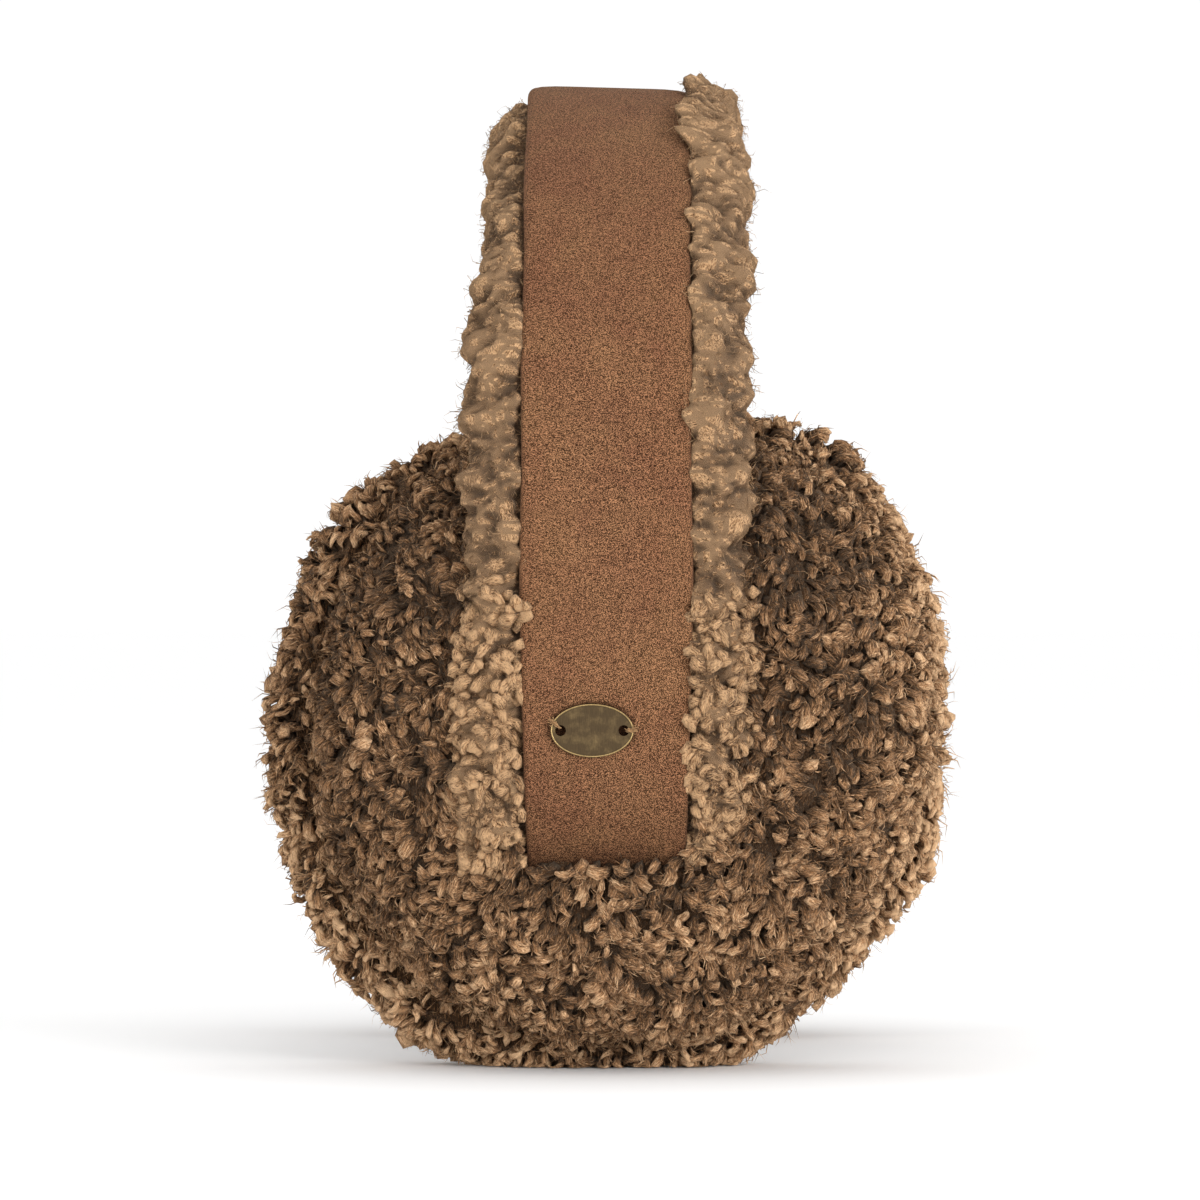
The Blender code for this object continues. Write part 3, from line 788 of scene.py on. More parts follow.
def strip_loop(bm, edge_round, steps=12):
    """The suede strip's section with rounded edges, as a loop of edges at the near tail's end."""
    made = bmesh.ops.create_grid(bm, x_segments=steps, y_segments=1, size=1.0)["verts"]
    bmesh.ops.scale(bm, verts=made, vec=(STRIP_WIDTH / 2, STRIP_THICKNESS / 2, 1))
    corners = [v for v in bm.verts if len(v.link_edges) == 2]
    bmesh.ops.bevel(bm, geom=corners, offset=edge_round, affect="VERTICES", segments=4, profile=0.5, material=-1)
    loop = [e for e in bm.edges if e.is_boundary]
    inner = [e for e in bm.edges if not e.is_boundary]
    bmesh.ops.delete(bm, geom=list(bm.faces) + inner, context="EDGES_FACES")
    start, inward = (v[0] for v in band_place(np.array([0.0]), STRIP_TAIL_TURN))
    lean = math.atan2(inward[2], inward[1])
    bmesh.ops.rotate(bm, verts=bm.verts, cent=(0, 0, 0), matrix=Matrix.Rotation(lean, 3, "X"))
    bmesh.ops.translate(bm, verts=bm.verts, vec=Vector(start) + Vector(inward) * STRIP_THICKNESS / 2)
    return [e for e in loop if e.is_valid]


def swept_band(make_loop, turn, pitch):
    """A closed bar along the band's route; make_loop draws its section at the near tail's end."""
    bm = bmesh.new()
    loop = make_loop(bm)
    last = sweep_band(bm, loop, turn, pitch)
    bmesh.ops.contextual_create(bm, geom=loop)
    bmesh.ops.contextual_create(bm, geom=last)
    bmesh.ops.recalc_face_normals(bm, faces=bm.faces)
    return bm


def add_mesh(name, bm, material):
    mesh = bpy.data.meshes.new(name)
    bm.to_mesh(mesh)
    bm.free()
    mesh.materials.append(material)
    obj = bpy.data.objects.new(name, mesh)
    bpy.context.scene.collection.objects.link(obj)
    return obj


class EARMUFFS_OT_strip(bpy.types.Operator):
    """Makes the suede strip with its turned edges"""

    bl_idname = "earmuffs.strip"
    bl_label = "Suede strip"

    def execute(self, context):
        band = context.scene.earmuffs_band
        bm = swept_band(lambda bm: strip_loop(bm, band.edge_round), STRIP_TAIL_TURN, STRIP_PITCH)
        tail_low = TAIL_START_HEIGHT - TAIL_RADIUS * math.sin(STRIP_TAIL_TURN)
        for v in bm.verts:
            below = max(0.0, 1 - (v.co.z - tail_low) / STRIP_TAIL_TAPER)
            v.co.x *= 1 - below * (1 - STRIP_TAIL_WIDTH / STRIP_WIDTH)
            beside = v.co.x / (STRIP_WIDTH / 2)
            v.co.z -= CROWN_DROOP * max(0.0, v.co.z - CROWN_HEIGHT) / STRIP_RADIUS * (abs(beside) ** 9 + CROWN_TILT * beside)
            wander = math.sin(v.co.z * 95 + 1.7) * math.sin(v.co.y * 60 + v.co.z * 41)
            v.co.x += band.waviness * wander * v.co.x / (STRIP_WIDTH / 2)
        strip = add_mesh("headband_suede", bm, suede_material(band))
        strip.data.shade_smooth()
        declare(strip, "suede", "headband_leather")
        return {"FINISHED"}


# Section of the lining's backing: half its width, its depths below the strip's face and its corners
LINING_HALF = 0.0252
LINING_TOP = STRIP_THICKNESS + PIECE_GAP
LINING_BOTTOM = 0.0125
LINING_ROUNDNESS = 0.62
LINING_LIP = 0.0016
LINING_PITCH = 0.00066
LINING_STEPS = 104
CURL_NEIGHBOURS = 6
CURL_WARP = 0.0005
CURL_STRETCH = 0.55
COAT_EDGE = 0.05
TUFT_LENGTHS = (0.0042, 0.011)
LEAN_LENGTHS = (0.005, 0.012)
LOW_LOCK_TOP = 0.096
LOW_LOCK_TONE = 0.31
LOW_LOCK_SUNK = 0.0017
TUFT_LOW = -1.2
TUFT_HIGH = 2.0
# Painted shade: share of a tuft's height in the lining's tone, lighter on tuft tops than in creases
TUFT_TONE = 0.16
# Painted light and shade on the lining: darker on the right, lighter low on the left beside the strip's edge
RIGHT_PAINTED_SHADE = 0.01
LEFT_PAINTED_LIGHT = 0.13
ROLL_CROWDING = 1.4
LIP_CROWDING = 1.2
LEFT_SLIMMER = 0.0040
LEFT_FULLER = 0.0022
RIGHT_TALLER = 0.0022
LEFT_LOWER = 0.0034
RIGHT_NARROWER = 0.0030
LEFT_LONGER = 0.0055
LEAN_START = 0.0004
LEAN_HEIGHT = 0.0020
LEAN_RISE = 0.35
LEAN_WIDTH = 0.0065
RIGHT_LEAN = 0.0024
LEFT_LEAN = 0.0040
SPREAD_STEPS = (0.7548777, 0.5698403)


class LiningSection:
    """The lining's backing cut across: distance across the band, and depth below the strip's face."""

    def __init__(self):
        swing = np.linspace(0, 2 * np.pi, 721)
        out, down = np.cos(swing), np.sin(swing)
        across = LINING_HALF * np.sign(out) * np.abs(out) ** LINING_ROUNDNESS
        middle, half = (LINING_TOP + LINING_BOTTOM) / 2, (LINING_BOTTOM - LINING_TOP) / 2
        depth = middle + half * np.sign(down) * np.abs(down) ** LINING_ROUNDNESS
        beside_strip = ease(STRIP_WIDTH / 2, STRIP_WIDTH / 2 + 0.003, np.abs(across))
        depth = depth - LINING_LIP * beside_strip * (down < 0) * np.abs(down)
        self.outline = np.stack((across, depth), axis=1)
        step = np.gradient(self.outline, axis=0)
        self.normals = unit(np.stack((step[:, 1], -step[:, 0]), axis=1))
        crowding = 1 + ROLL_CROWDING * (depth < LINING_BOTTOM - 0.0008) + LIP_CROWDING * (depth < LINING_TOP)
        lengths = np.linalg.norm(step, axis=1) * crowding
        self.share = np.cumsum(lengths) / lengths.sum()

    def at(self, share):
        """Points of the outline and their outward directions, by share of the way round."""
        point = [np.interp(share, self.share, self.outline[:, k]) for k in (0, 1)]
        normal = [np.interp(share, self.share, self.normals[:, k]) for k in (0, 1)]
        return np.stack(point, axis=1), np.stack(normal, axis=1)

    def loop(self, bm, steps=LINING_STEPS):
        """The outline as a loop of edges at the near tail's end."""
        start, inward = (v[0] for v in band_place(np.array([0.0]), LINING_TAIL_TURN))
        points, _ = self.at((np.arange(steps) + 0.5) / steps)
        verts = [bm.verts.new(start + inward * depth + np.array((across, 0, 0))) for across, depth in points]
        return [bm.edges.new(pair) for pair in zip(verts, verts[1:] + verts[:1])]


def lining_sway(points):
    """How the lining strays from an even roll: fuller low on the near left, slimmer on the left of the crown."""
    y, z = points[:, 1], points[:, 2]
    slim = LEFT_SLIMMER * ease(0.130, 0.180, z) * ease(0.075, 0.0, y)
    full = LEFT_FULLER * ease(0.095, 0.070, z) * (y < 0)
    on_left, on_right = (ease(0, STRIP_WIDTH / 2, way * points[:, 0]) for way in (-1, 1))
    across = on_left * (slim - full) - on_right * RIGHT_NARROWER * ease(0.178, 0.197, z)
    raised = ease(0.150, 0.190, z) * (RIGHT_TALLER * on_right - LEFT_LOWER * on_left)
    longer = LEFT_LONGER * ease(0.062, 0.040, z) * on_left * (y < 0)
    return np.stack((across, 0.5 * longer, raised - 0.87 * longer), axis=1)


def band_depth(points):
    """How deep points lie below the strip's outer face."""
    y, z = np.abs(points[:, 1]), points[:, 2]
    in_tail = TAIL_RADIUS - np.hypot(y - STRIP_RADIUS + TAIL_RADIUS, z - TAIL_START_HEIGHT)
    higher = STRIP_RADIUS - np.hypot(y, np.maximum(z - CROWN_HEIGHT, 0))
    return np.where(z < TAIL_START_HEIGHT, in_tail, higher)


def lining_lean(points):
    """How far tufts lean over the strip's edge: on the right high up, on the left at the near end."""
    x, y, z = points.T
    edge = STRIP_WIDTH / 2
    beside = ease(edge + LEAN_WIDTH, edge, np.abs(x)) * (np.abs(x) > edge - 0.0005)
    ragged = np.clip(0.55 + 0.4 * swells(points, 15, LEAN_LENGTHS), 0, 1.1)
    right = RIGHT_LEAN * ease(0.112, 0.130, z) * (x > 0)
    left = LEFT_LEAN * ease(0.062, 0.047, z) * (x < 0) * (y < 0)
    return beside * ragged * (left - right)


def open_wool(points):
    """1 on the lining's open sides, 0 where the strip lies over it."""
    past_edge = ease(STRIP_WIDTH / 2 - 0.0008, STRIP_WIDTH / 2 + 0.0008, np.abs(points[:, 0]))
    return 1 - (1 - past_edge) * ease(LINING_TOP + 0.003, LINING_TOP + 0.0015, band_depth(points))


def lining_roots(section, count, draw):
    """Evenly scattered roots on the lining's open sides, with their outward directions."""
    number = np.arange(count)
    distance, share = (number[:, None] * SPREAD_STEPS + draw.normal(0, (0.003, 0.02), (count, 2))).T % 1
    point, inward = band_place(distance * band_length(LINING_TAIL_TURN), LINING_TAIL_TURN)
    place, out = section.at(share)
    roots = point + inward * place[:, 1:]
    roots[:, 0] += place[:, 0]
    roots = roots + lining_sway(roots)
    normals = inward * out[:, 1:]
    normals[:, 0] += out[:, 0]
    bare = (np.abs(roots[:, 0]) > STRIP_WIDTH / 2 + 0.0008) | (place[:, 1] > LINING_BOTTOM - 0.003)
    return roots[bare], unit(normals)[bare]


class Curls:
    """Rounded curls of wool round scattered middles, each a little longer one way."""

    def __init__(self, section, size, draw):
        area = band_length(LINING_TAIL_TURN) * 4 * LINING_HALF
        self.middles, _ = lining_roots(section, int(area / size**2), draw)
        count = len(self.middles)
        self.axes = turned_axes(count, draw)
        self.reach = size * draw.uniform(0.5, 1.08, count)
        self.tree = KDTree(count)
        for k, middle in enumerate(self.middles):
            self.tree.insert(middle, k)
        self.tree.balance()

    def at(self, points):
        """For each point: the height of the curl over it, from 0 in a crease to about 1, and its number."""
        number = np.array([[found[1] for found in self.tree.find_n(point, CURL_NEIGHBOURS)] for point in points])
        offset = points[:, None] - self.middles[number]
        along = (offset * self.axes[number, 2]).sum(-1)
        square = (offset**2).sum(-1) - CURL_STRETCH * along**2
        reach = self.reach[number]
        heights = np.sqrt(np.clip(1 - square / reach**2, 0, 1)) * reach / self.reach.max()
        best = heights.argmax(1)
        rows = np.arange(len(points))
        return heights[rows, best], number[rows, best]


def turned_axes(count, draw):
    """A random set of three square directions for each of many things."""
    first = random_directions(count, draw)
    second = flatten_to(random_directions(count, draw), first)
    return np.stack((first, second, np.cross(first, second)), axis=1)


def lining_coat(section, wool, draw):
    """The lining's curled surface: points, triangles, heights of the curls, and places along their fibres."""
    bm = swept_band(section.loop, LINING_TAIL_TURN, LINING_PITCH)
    bm.normal_update()
    normals = np.array([v.normal for v in bm.verts])
    points, triangles = mesh_arrays(bm)
    points = points + lining_sway(points)
    curls = Curls(section, wool.curl_size, draw)
    warp = np.stack([swells(points, seed, WARP_LENGTHS) for seed in (11, 12, 13)], axis=1)
    curl, number = curls.at(points + CURL_WARP * warp)
    tuft = np.clip(swells(points, 14, TUFT_LENGTHS), TUFT_LOW, TUFT_HIGH)
    bare, lean = open_wool(points), lining_lean(points)
    lift = wool.tuft_height * (tuft - TUFT_LOW) + wool.curl_height * curl + LEAN_RISE * np.abs(lean)
    points = points + normals * (lift * bare)[:, None]
    points[:, 0] += lean * np.clip(LEAN_START - band_depth(points), 0, LEAN_HEIGHT) / LEAN_HEIGHT
    straight = np.einsum("nij,nj->ni", curls.axes[number], points - curls.middles[number])
    straight = straight + draw.uniform(0, 1, (len(curls.middles), 3))[number]
    return points, triangles, bare * np.clip(curl + TUFT_TONE * tuft, 2 * COAT_EDGE, None), straight


def painted_side_light(points):
    """Painted light and shade on the lining: lighter at the top and low on the left, darker on the right."""
    x, _, z = points.T
    left = LEFT_PAINTED_LIGHT * ease(0, STRIP_WIDTH / 2, -x) * ease(0.115, 0.085, z)
    return left + 1.4 * TOP_PAINTED_LIGHT * ease(0.12, 0.19, z) - RIGHT_PAINTED_SHADE * ease(0, STRIP_WIDTH / 2, x) * ease(0.06, 0.09, z)


def scatter(points, triangles, heights, count, draw):
    """Random places on the open wool, with normals and heights there."""
    corners = points[triangles]
    across = np.cross(corners[:, 1] - corners[:, 0], corners[:, 2] - corners[:, 0])
    weight = np.linalg.norm(across, axis=1) * (heights[triangles].mean(1) > COAT_EDGE)
    face = draw.choice(len(triangles), count, p=weight / weight.sum())
    u = np.sqrt(draw.uniform(0, 1, count))
    v = draw.uniform(0, 1, count)
    share = np.stack((1 - u, u * (1 - v), u * v), axis=1)
    place = (corners[face] * share[..., None]).sum(1)
    return place, unit(across[face]), (heights[triangles[face]] * share).sum(1)


def low_locks(points, triangles, heights, wool, draw):
    """Curled locks on the lining where it lies on the pads, thinning out upwards."""
    low = points[:, 2] < LOW_LOCK_TOP - 0.02 * draw.uniform(0, 1, len(points)) ** 2
    outside = band_depth(points) < LINING_BOTTOM - 0.004
    count = wool.low_locks
    roots, normals, height = scatter(points, triangles, heights * low * outside, count, draw)
    rising = unit(normals + 0.3 * draw.standard_normal((count, 3)))
    return Locks(
        roots - normals * LOW_LOCK_SUNK,
        rising,
        flatten_to(random_directions(count, draw) + np.array(FALL), rising),
        wool.low_lock_length * draw.uniform(0.8, 1.2, count),
        wool.lock_radius * draw.uniform(0.95, 1.4, count),
        draw.uniform(1.8, 3.4, count),
        # Painted shade: lighter on higher curls, with the painted side light.
        LOW_LOCK_TONE + 0.12 * height + draw.normal(0, 0.09, count) + painted_side_light(roots),
        np.full(count, 0.6),
    )


def lining_fibres(points, triangles, heights, wool, draw):
    """Fine curled fibres that lie over the lining's curls and stand off its outline."""
    count = wool.band_fibres
    roots, normals, height = scatter(points, triangles, heights, count, draw)
    along = flatten_to(random_directions(count, draw) + np.array(FALL), normals)
    steep = draw.uniform(0.15, 1.25, (count, 1))
    rising = unit(np.cos(steep) * along + np.sin(steep) * normals)
    sideways = np.cross(normals, along) * draw.choice((-1, 1), (count, 1))
    return Locks(
        roots - normals * 0.0001,
        rising,
        flatten_to(sideways - 0.25 * normals, rising),
        wool.band_fibre_length * draw.uniform(0.6, 1.3, count),
        wool.band_fibre_radius * draw.uniform(0.6, 1.3, count),
        draw.uniform(1.5, 5.0, count),
        # Painted shade: lighter on higher curls, with the painted side light.
        0.38 + 0.38 * height + draw.normal(0, 0.2, count) + painted_side_light(roots),
        np.full(count, 0.25),
    )


class EARMUFFS_OT_lining(bpy.types.Operator):
    """Fills the band with its fleece lining"""

    bl_idname = "earmuffs.lining"
    bl_label = "Fleece lining"

    def execute(self, context):
        wool = context.scene.earmuffs_wool
        draw = np.random.default_rng(5)
        points, triangles, heights, straight = lining_coat(LiningSection(), wool, draw)
        # Painted shade: the lining is darker in the creases between its curls and tufts and lighter on their tops.
        tones = 0.06 + 0.66 * ease(0.12, 0.90, heights) + painted_side_light(points)
        coat = Fleece()
        coat.add(points, triangles, tones, straight)
        locks = low_locks(points, triangles, heights, wool, draw)
        coat.add(*locks.grown(lock_shape(4, NUB_RINGS), draw, 0.2))
        material = fleece_material("lining_wool", wool.lining_dark, wool.lining_middle, wool.lining_light, 1.3, 0.45)
        declare(coat.finish("headband_fleece_wool", material), "band_fleece", "headband_fleece")
        beside = Fleece()
        fibres = lining_fibres(points, triangles, heights, wool, draw)
        beside.add(*fibres.grown(lock_shape(3, FIBRE_RINGS), draw, 0))
        declare(beside.finish("headband_fleece_strands", material), "band_fleece")
        return {"FINISHED"}


plate_low, plate_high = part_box("oval_plate")
PLATE_CENTRE = (plate_low + plate_high) / 2
PLATE_HALF_WIDTH = (plate_high.x - plate_low.x) / 2
PLATE_HALF_HEIGHT = (plate_high.z - plate_low.z) / 2
PLATE_FRONT = plate_low.y
PLATE_BACK = plate_high.y
PLATE_SEGMENTS = 96
PLATE_SHADE_RISE = 0.0003
TAIL_DARK_HEIGHT = 0.037
TAIL_DARK_REACH = 0.030


def oval_plate_mesh(plate):
    """The plate's body: an oval with a rounded raised rim and a sunken field, facing -Y."""
    bm = bmesh.new()
    made = bmesh.ops.create_circle(bm, cap_ends=True, segments=PLATE_SEGMENTS, radius=1.0)["verts"]
    bmesh.ops.scale(bm, verts=made, vec=(PLATE_HALF_WIDTH, PLATE_HALF_HEIGHT, 1))
    bmesh.ops.rotate(bm, verts=made, cent=(0, 0, 0), matrix=Matrix.Rotation(math.pi / 2, 3, "X"))
    bmesh.ops.translate(bm, verts=made, vec=(PLATE_CENTRE.x, PLATE_FRONT, PLATE_CENTRE.z))
    front = bm.faces[:]
    made = bmesh.ops.extrude_face_region(bm, geom=front)["geom"]
    back = [g for g in made if isinstance(g, bmesh.types.BMVert)]
    bmesh.ops.translate(bm, verts=back, vec=(0, PLATE_BACK - PLATE_FRONT, 0))
    bmesh.ops.recalc_face_normals(bm, faces=bm.faces)
    face = min(bm.faces, key=lambda f: f.calc_center_median().y)
    edge = list(face.edges)
    bmesh.ops.inset_region(bm, faces=[face], thickness=plate.rim_width, use_even_offset=True)
    face = min((f for f in bm.faces if len(f.verts) > 8), key=lambda f: f.calc_center_median().y)
    shoulder = list(face.edges)
    made = bmesh.ops.extrude_face_region(bm, geom=[face])["geom"]
    sunk = [g for g in made if isinstance(g, bmesh.types.BMVert)]
    bmesh.ops.delete(bm, geom=[face], context="FACES_ONLY")
    bmesh.ops.translate(bm, verts=sunk, vec=(0, plate.field_depth, 0))
    bmesh.ops.bevel(
        bm,
        geom=[e for e in edge + shoulder if e.is_valid],
        offset=0.00012,
        affect="EDGES",
        segments=3,
        profile=0.5,
        material=-1,
    )
    bmesh.ops.recalc_face_normals(bm, faces=bm.faces)
    return bm


def drill_plate(obj, plate):
    """Cuts both stitch holes and keeps the result as the plate's mesh."""
    for side in (-1, 1):
        bm = bmesh.new()
        depth = PLATE_BACK - PLATE_FRONT
        bmesh.ops.create_cone(
            bm,
            cap_ends=True,
            segments=32,
            radius1=plate.hole_radius,
            radius2=plate.hole_radius,
            depth=4 * depth,
        )
        drill = add_mesh(f"drill_{side}", bm, obj.data.materials[0])
        x = PLATE_CENTRE.x + side * (PLATE_HALF_WIDTH - plate.hole_inset)
        drill.matrix_world = Matrix.Translation((x, PLATE_FRONT, PLATE_CENTRE.z)) @ Matrix.Rotation(
            math.pi / 2, 4, "X"
        )
        modifier = obj.modifiers.new("hole", "BOOLEAN")
        modifier.operation = "DIFFERENCE"
        modifier.object = drill
        keep_result(obj)
        bpy.data.objects.remove(drill, do_unlink=True)


def keep_result(obj):
    """Replaces an object's mesh with what its modifiers make of it."""
    bpy.context.view_layer.update()
    made = bpy.data.meshes.new_from_object(obj.evaluated_get(bpy.context.evaluated_depsgraph_get()))
    obj.modifiers.clear()
    obj.data = made


# Route of each stitch's plies, from its hole over the plate's edge into the suede
# Columns: sideways, up, out from the plate's face, in metres from the hole
LEFT_STITCH = (
    (-0.0003, 0.0004, -0.0008),
    (-0.0005, 0.0008, 0.0002),
    (-0.0009, 0.0013, 0.0003),
    (-0.0013, 0.0019, -0.0002),
    (-0.0015, 0.0023, -0.0010),
)
RIGHT_STITCH = (
    (0.0005, 0.0000, -0.0008),
    (0.0008, 0.0001, 0.0002),
    (0.0014, 0.0001, 0.0003),
    (0.0020, 0.0000, -0.0003),
    (0.0023, 0.0000, -0.0010),
)
STITCH_PLIES = 7
FRAYED_ENDS = 14


def stitch_ply(route, radius, name):
    """One ply of thread as a tube along a smooth curve."""
    curve = bpy.data.curves.new(name, "CURVE")
    curve.dimensions = "3D"
    curve.resolution_u = 6
    curve.bevel_depth = radius
    curve.bevel_resolution = 1
    curve.use_fill_caps = True
    spline = curve.splines.new("NURBS")
    spline.points.add(len(route) - 1)
    for point, place in zip(spline.points, route):
        point.co = (*place, 1.0)
    spline.use_endpoint_u = True
    spline.order_u = 3
    obj = bpy.data.objects.new(name, curve)
    bpy.context.scene.collection.objects.link(obj)
    bpy.context.view_layer.update()
    mesh = bpy.data.meshes.new_from_object(obj.evaluated_get(bpy.context.evaluated_depsgraph_get()))
    bpy.data.objects.remove(obj, do_unlink=True)
    return mesh


def make_stitch(side, steps, plate, draw):
    """A frayed stitch: loose plies over the plate's edge and short broken ends."""
    hole = Vector((PLATE_CENTRE.x + side * (PLATE_HALF_WIDTH - plate.hole_inset), PLATE_FRONT, PLATE_CENTRE.z))
    route = [hole + Vector((x, -out, z)) for x, z, out in steps]
    bm = bmesh.new()
    for k in range(STITCH_PLIES):
        spread = [Vector(draw.normal(0, 0.00022, 3)) for _ in route]
        ply = [place + shift for place, shift in zip(route, spread)]
        mesh = stitch_ply(ply, plate.thread_radius * draw.uniform(0.6, 1.0), "ply")
        bm.from_mesh(mesh)
        bpy.data.meshes.remove(mesh)
    for k in range(FRAYED_ENDS):
        start = route[2].lerp(route[3], draw.uniform(0, 1))
        way = Vector((side * draw.uniform(0.2, 1.2), -draw.uniform(0.1, 0.5), draw.uniform(-0.6, 1.0))).normalized()
        bend = Vector(draw.normal(0, 0.0003, 3))
        ends = [start, start + way * 0.0006 + bend, start + way * 0.0013]
        mesh = stitch_ply(ends, 0.00005, "frayed_end")
        bm.from_mesh(mesh)
        bpy.data.meshes.remove(mesh)
    word = "left" if side < 0 else "right"
    stitch = add_mesh(f"plate_stitch_{word}", bm, thread_material(plate))
    stitch.data.shade_smooth()
    return declare(stitch, "suede")


class EARMUFFS_OT_plate(bpy.types.Operator):
    """Makes the oval plate and the stitches that hold it"""

    bl_idname = "earmuffs.plate"
    bl_label = "Oval plate"

    def execute(self, context):
        plate = context.scene.earmuffs_plate
        obj = add_mesh("oval_plate_metal", oval_plate_mesh(plate), plate_material(plate))
        drill_plate(obj, plate)
        obj.data.shade_smooth()
        obj.data.set_sharp_from_angle(angle=math.radians(50))
        declare(obj, "plate_metal", "oval_plate")
        draw = np.random.default_rng(3)
        make_stitch(-1, LEFT_STITCH, plate, draw)
        make_stitch(1, RIGHT_STITCH, plate, draw)
        return {"FINISHED"}


class Nodes:
    """Short hand for building a material's nodes."""

    def __init__(self, name):
        self.material = bpy.data.materials.new(name)
        self.material.use_nodes = True
        self.tree = self.material.node_tree
        self.shader = self.tree.nodes["Principled BSDF"]

    def add(self, kind, **values):
        """A node with its inputs set: an input takes a number, a colour or another node's socket."""
        node = self.tree.nodes.new(kind)
        for key, value in values.items():
            if hasattr(node, key):
                setattr(node, key, value)
            else:
                self.put(node.inputs[key.replace("_", " ")], value)
        return node

    def put(self, socket, value):
        if isinstance(value, bpy.types.NodeSocket):
            self.tree.links.new(value, socket)
        else:
            socket.default_value = value

    def ramp(self, factor, *stops):
        """A colour ramp; each stop is a place and a colour."""
        node = self.add("ShaderNodeValToRGB", Fac=factor)
        elements = node.color_ramp.elements
        while len(elements) < len(stops):
            elements.new(0.5)
        for element, (place, colour) in zip(elements, stops):
            element.position = place
            element.color = (*colour, 1.0)
        return node.outputs["Color"]

    def math(self, operation, a, b):
        node = self.tree.nodes.new("ShaderNodeMath")
        node.operation = operation
        self.put(node.inputs[0], a)
        self.put(node.inputs[1], b)
        return node.outputs[0]

    def noise(self, vector, scale, detail=3.0, rough=0.55, distortion=0.0):
        node = self.tree.nodes.new("ShaderNodeTexNoise")
        self.put(node.inputs["Vector"], vector)
        node.inputs["Scale"].default_value = scale
        node.inputs["Detail"].default_value = detail
        node.inputs["Roughness"].default_value = rough
        node.inputs["Distortion"].default_value = distortion
        return node.outputs["Fac"]

    def ridges(self, vector, scale, sharpness, distortion=0.0):
        """Thin winding lines, 1 along each line and 0 between them."""
        height = self.math("SUBTRACT", self.noise(vector, scale, detail=1.0, distortion=distortion), 0.5)
        away = self.math("MULTIPLY", self.math("ABSOLUTE", height, 0.0), sharpness)
        return self.math("MAXIMUM", self.math("SUBTRACT", 1.0, away), 0.0)

    def mix(self, factor, a, b, blend="MIX"):
        node = self.tree.nodes.new("ShaderNodeMix")
        node.data_type = "RGBA"
        node.blend_type = blend
        self.put(node.inputs["Factor"], factor)
        for socket, value in ((node.inputs[6], a), (node.inputs[7], b)):
            self.put(socket, value if isinstance(value, bpy.types.NodeSocket) else (*value, 1.0))
        return node.outputs[2]

    def bump(self, height, distance, strength):
        node = self.tree.nodes.new("ShaderNodeBump")
        node.inputs["Distance"].default_value = distance
        node.inputs["Strength"].default_value = strength
        self.put(node.inputs["Height"], height)
        self.put(self.shader.inputs["Normal"], node.outputs["Normal"])

    def surface(self, colour, roughness, **constants):
        self.put(self.shader.inputs["Base Color"], colour)
        self.put(self.shader.inputs["Roughness"], roughness)
        for key, value in constants.items():
            self.shader.inputs[key.replace("_", " ")].default_value = value


def fleece_material(name, dark, middle, light, contrast=1.0, hair_lighter=0.25):
    """Wool: dark at the roots and light at the tips, a painted shade deep in the wool, with the streaks of its fibres
    along each lock.
    """
    nodes = Nodes(name)
    tone = nodes.add("ShaderNodeAttribute", attribute_name="tone").outputs["Fac"]
    straight = nodes.add("ShaderNodeAttribute", attribute_name="straight").outputs["Vector"]
    stretched = nodes.add("ShaderNodeMapping", Vector=straight, Scale=(1.0, 1.0, 0.22)).outputs["Vector"]
    fibres = nodes.noise(stretched, 4200, detail=2.0, rough=0.6, distortion=0.6)
    fine = nodes.noise(straight, 5200, detail=2.0, rough=0.7)
    hairs = nodes.math(
        "MAXIMUM",
        nodes.ridges(stretched, 1500, 20, distortion=1.0),
        nodes.ridges(stretched, 2600, 16, distortion=0.6),
    )
    place = nodes.add("ShaderNodeTexCoord").outputs["Object"]
    blotches = nodes.noise(place, 85, detail=3.0)
    tone = nodes.math("ADD", tone, nodes.math("MULTIPLY", nodes.math("SUBTRACT", fibres, 0.5), 2.2 * contrast))
    tone = nodes.math("ADD", tone, nodes.math("MULTIPLY", nodes.math("SUBTRACT", fine, 0.5), contrast))
    tone = nodes.math("ADD", tone, nodes.math("MULTIPLY", nodes.math("SUBTRACT", blotches, 0.5), 0.35))
    tone = nodes.math("ADD", tone, nodes.math("MULTIPLY", nodes.math("SUBTRACT", hairs, 0.2), hair_lighter))
    deep = tuple(0.45 * channel for channel in dark)
    colour = nodes.ramp(tone, (0.0, deep), (0.3, tuple(dark)), (0.68, tuple(middle)), (1.0, tuple(light)))
    nodes.surface(
        colour,
        0.85,
        Sheen_Weight=0.15,
        Sheen_Roughness=0.5,
        Sheen_Tint=(1.0, 0.80, 0.60, 1.0),
        Specular_IOR_Level=0.05,
    )
    relief = nodes.math("ADD", fibres, nodes.math("MULTIPLY", nodes.math("ADD", fine, hairs), 0.5))
    nodes.bump(relief, 0.0004, 0.9)
    return nodes.material


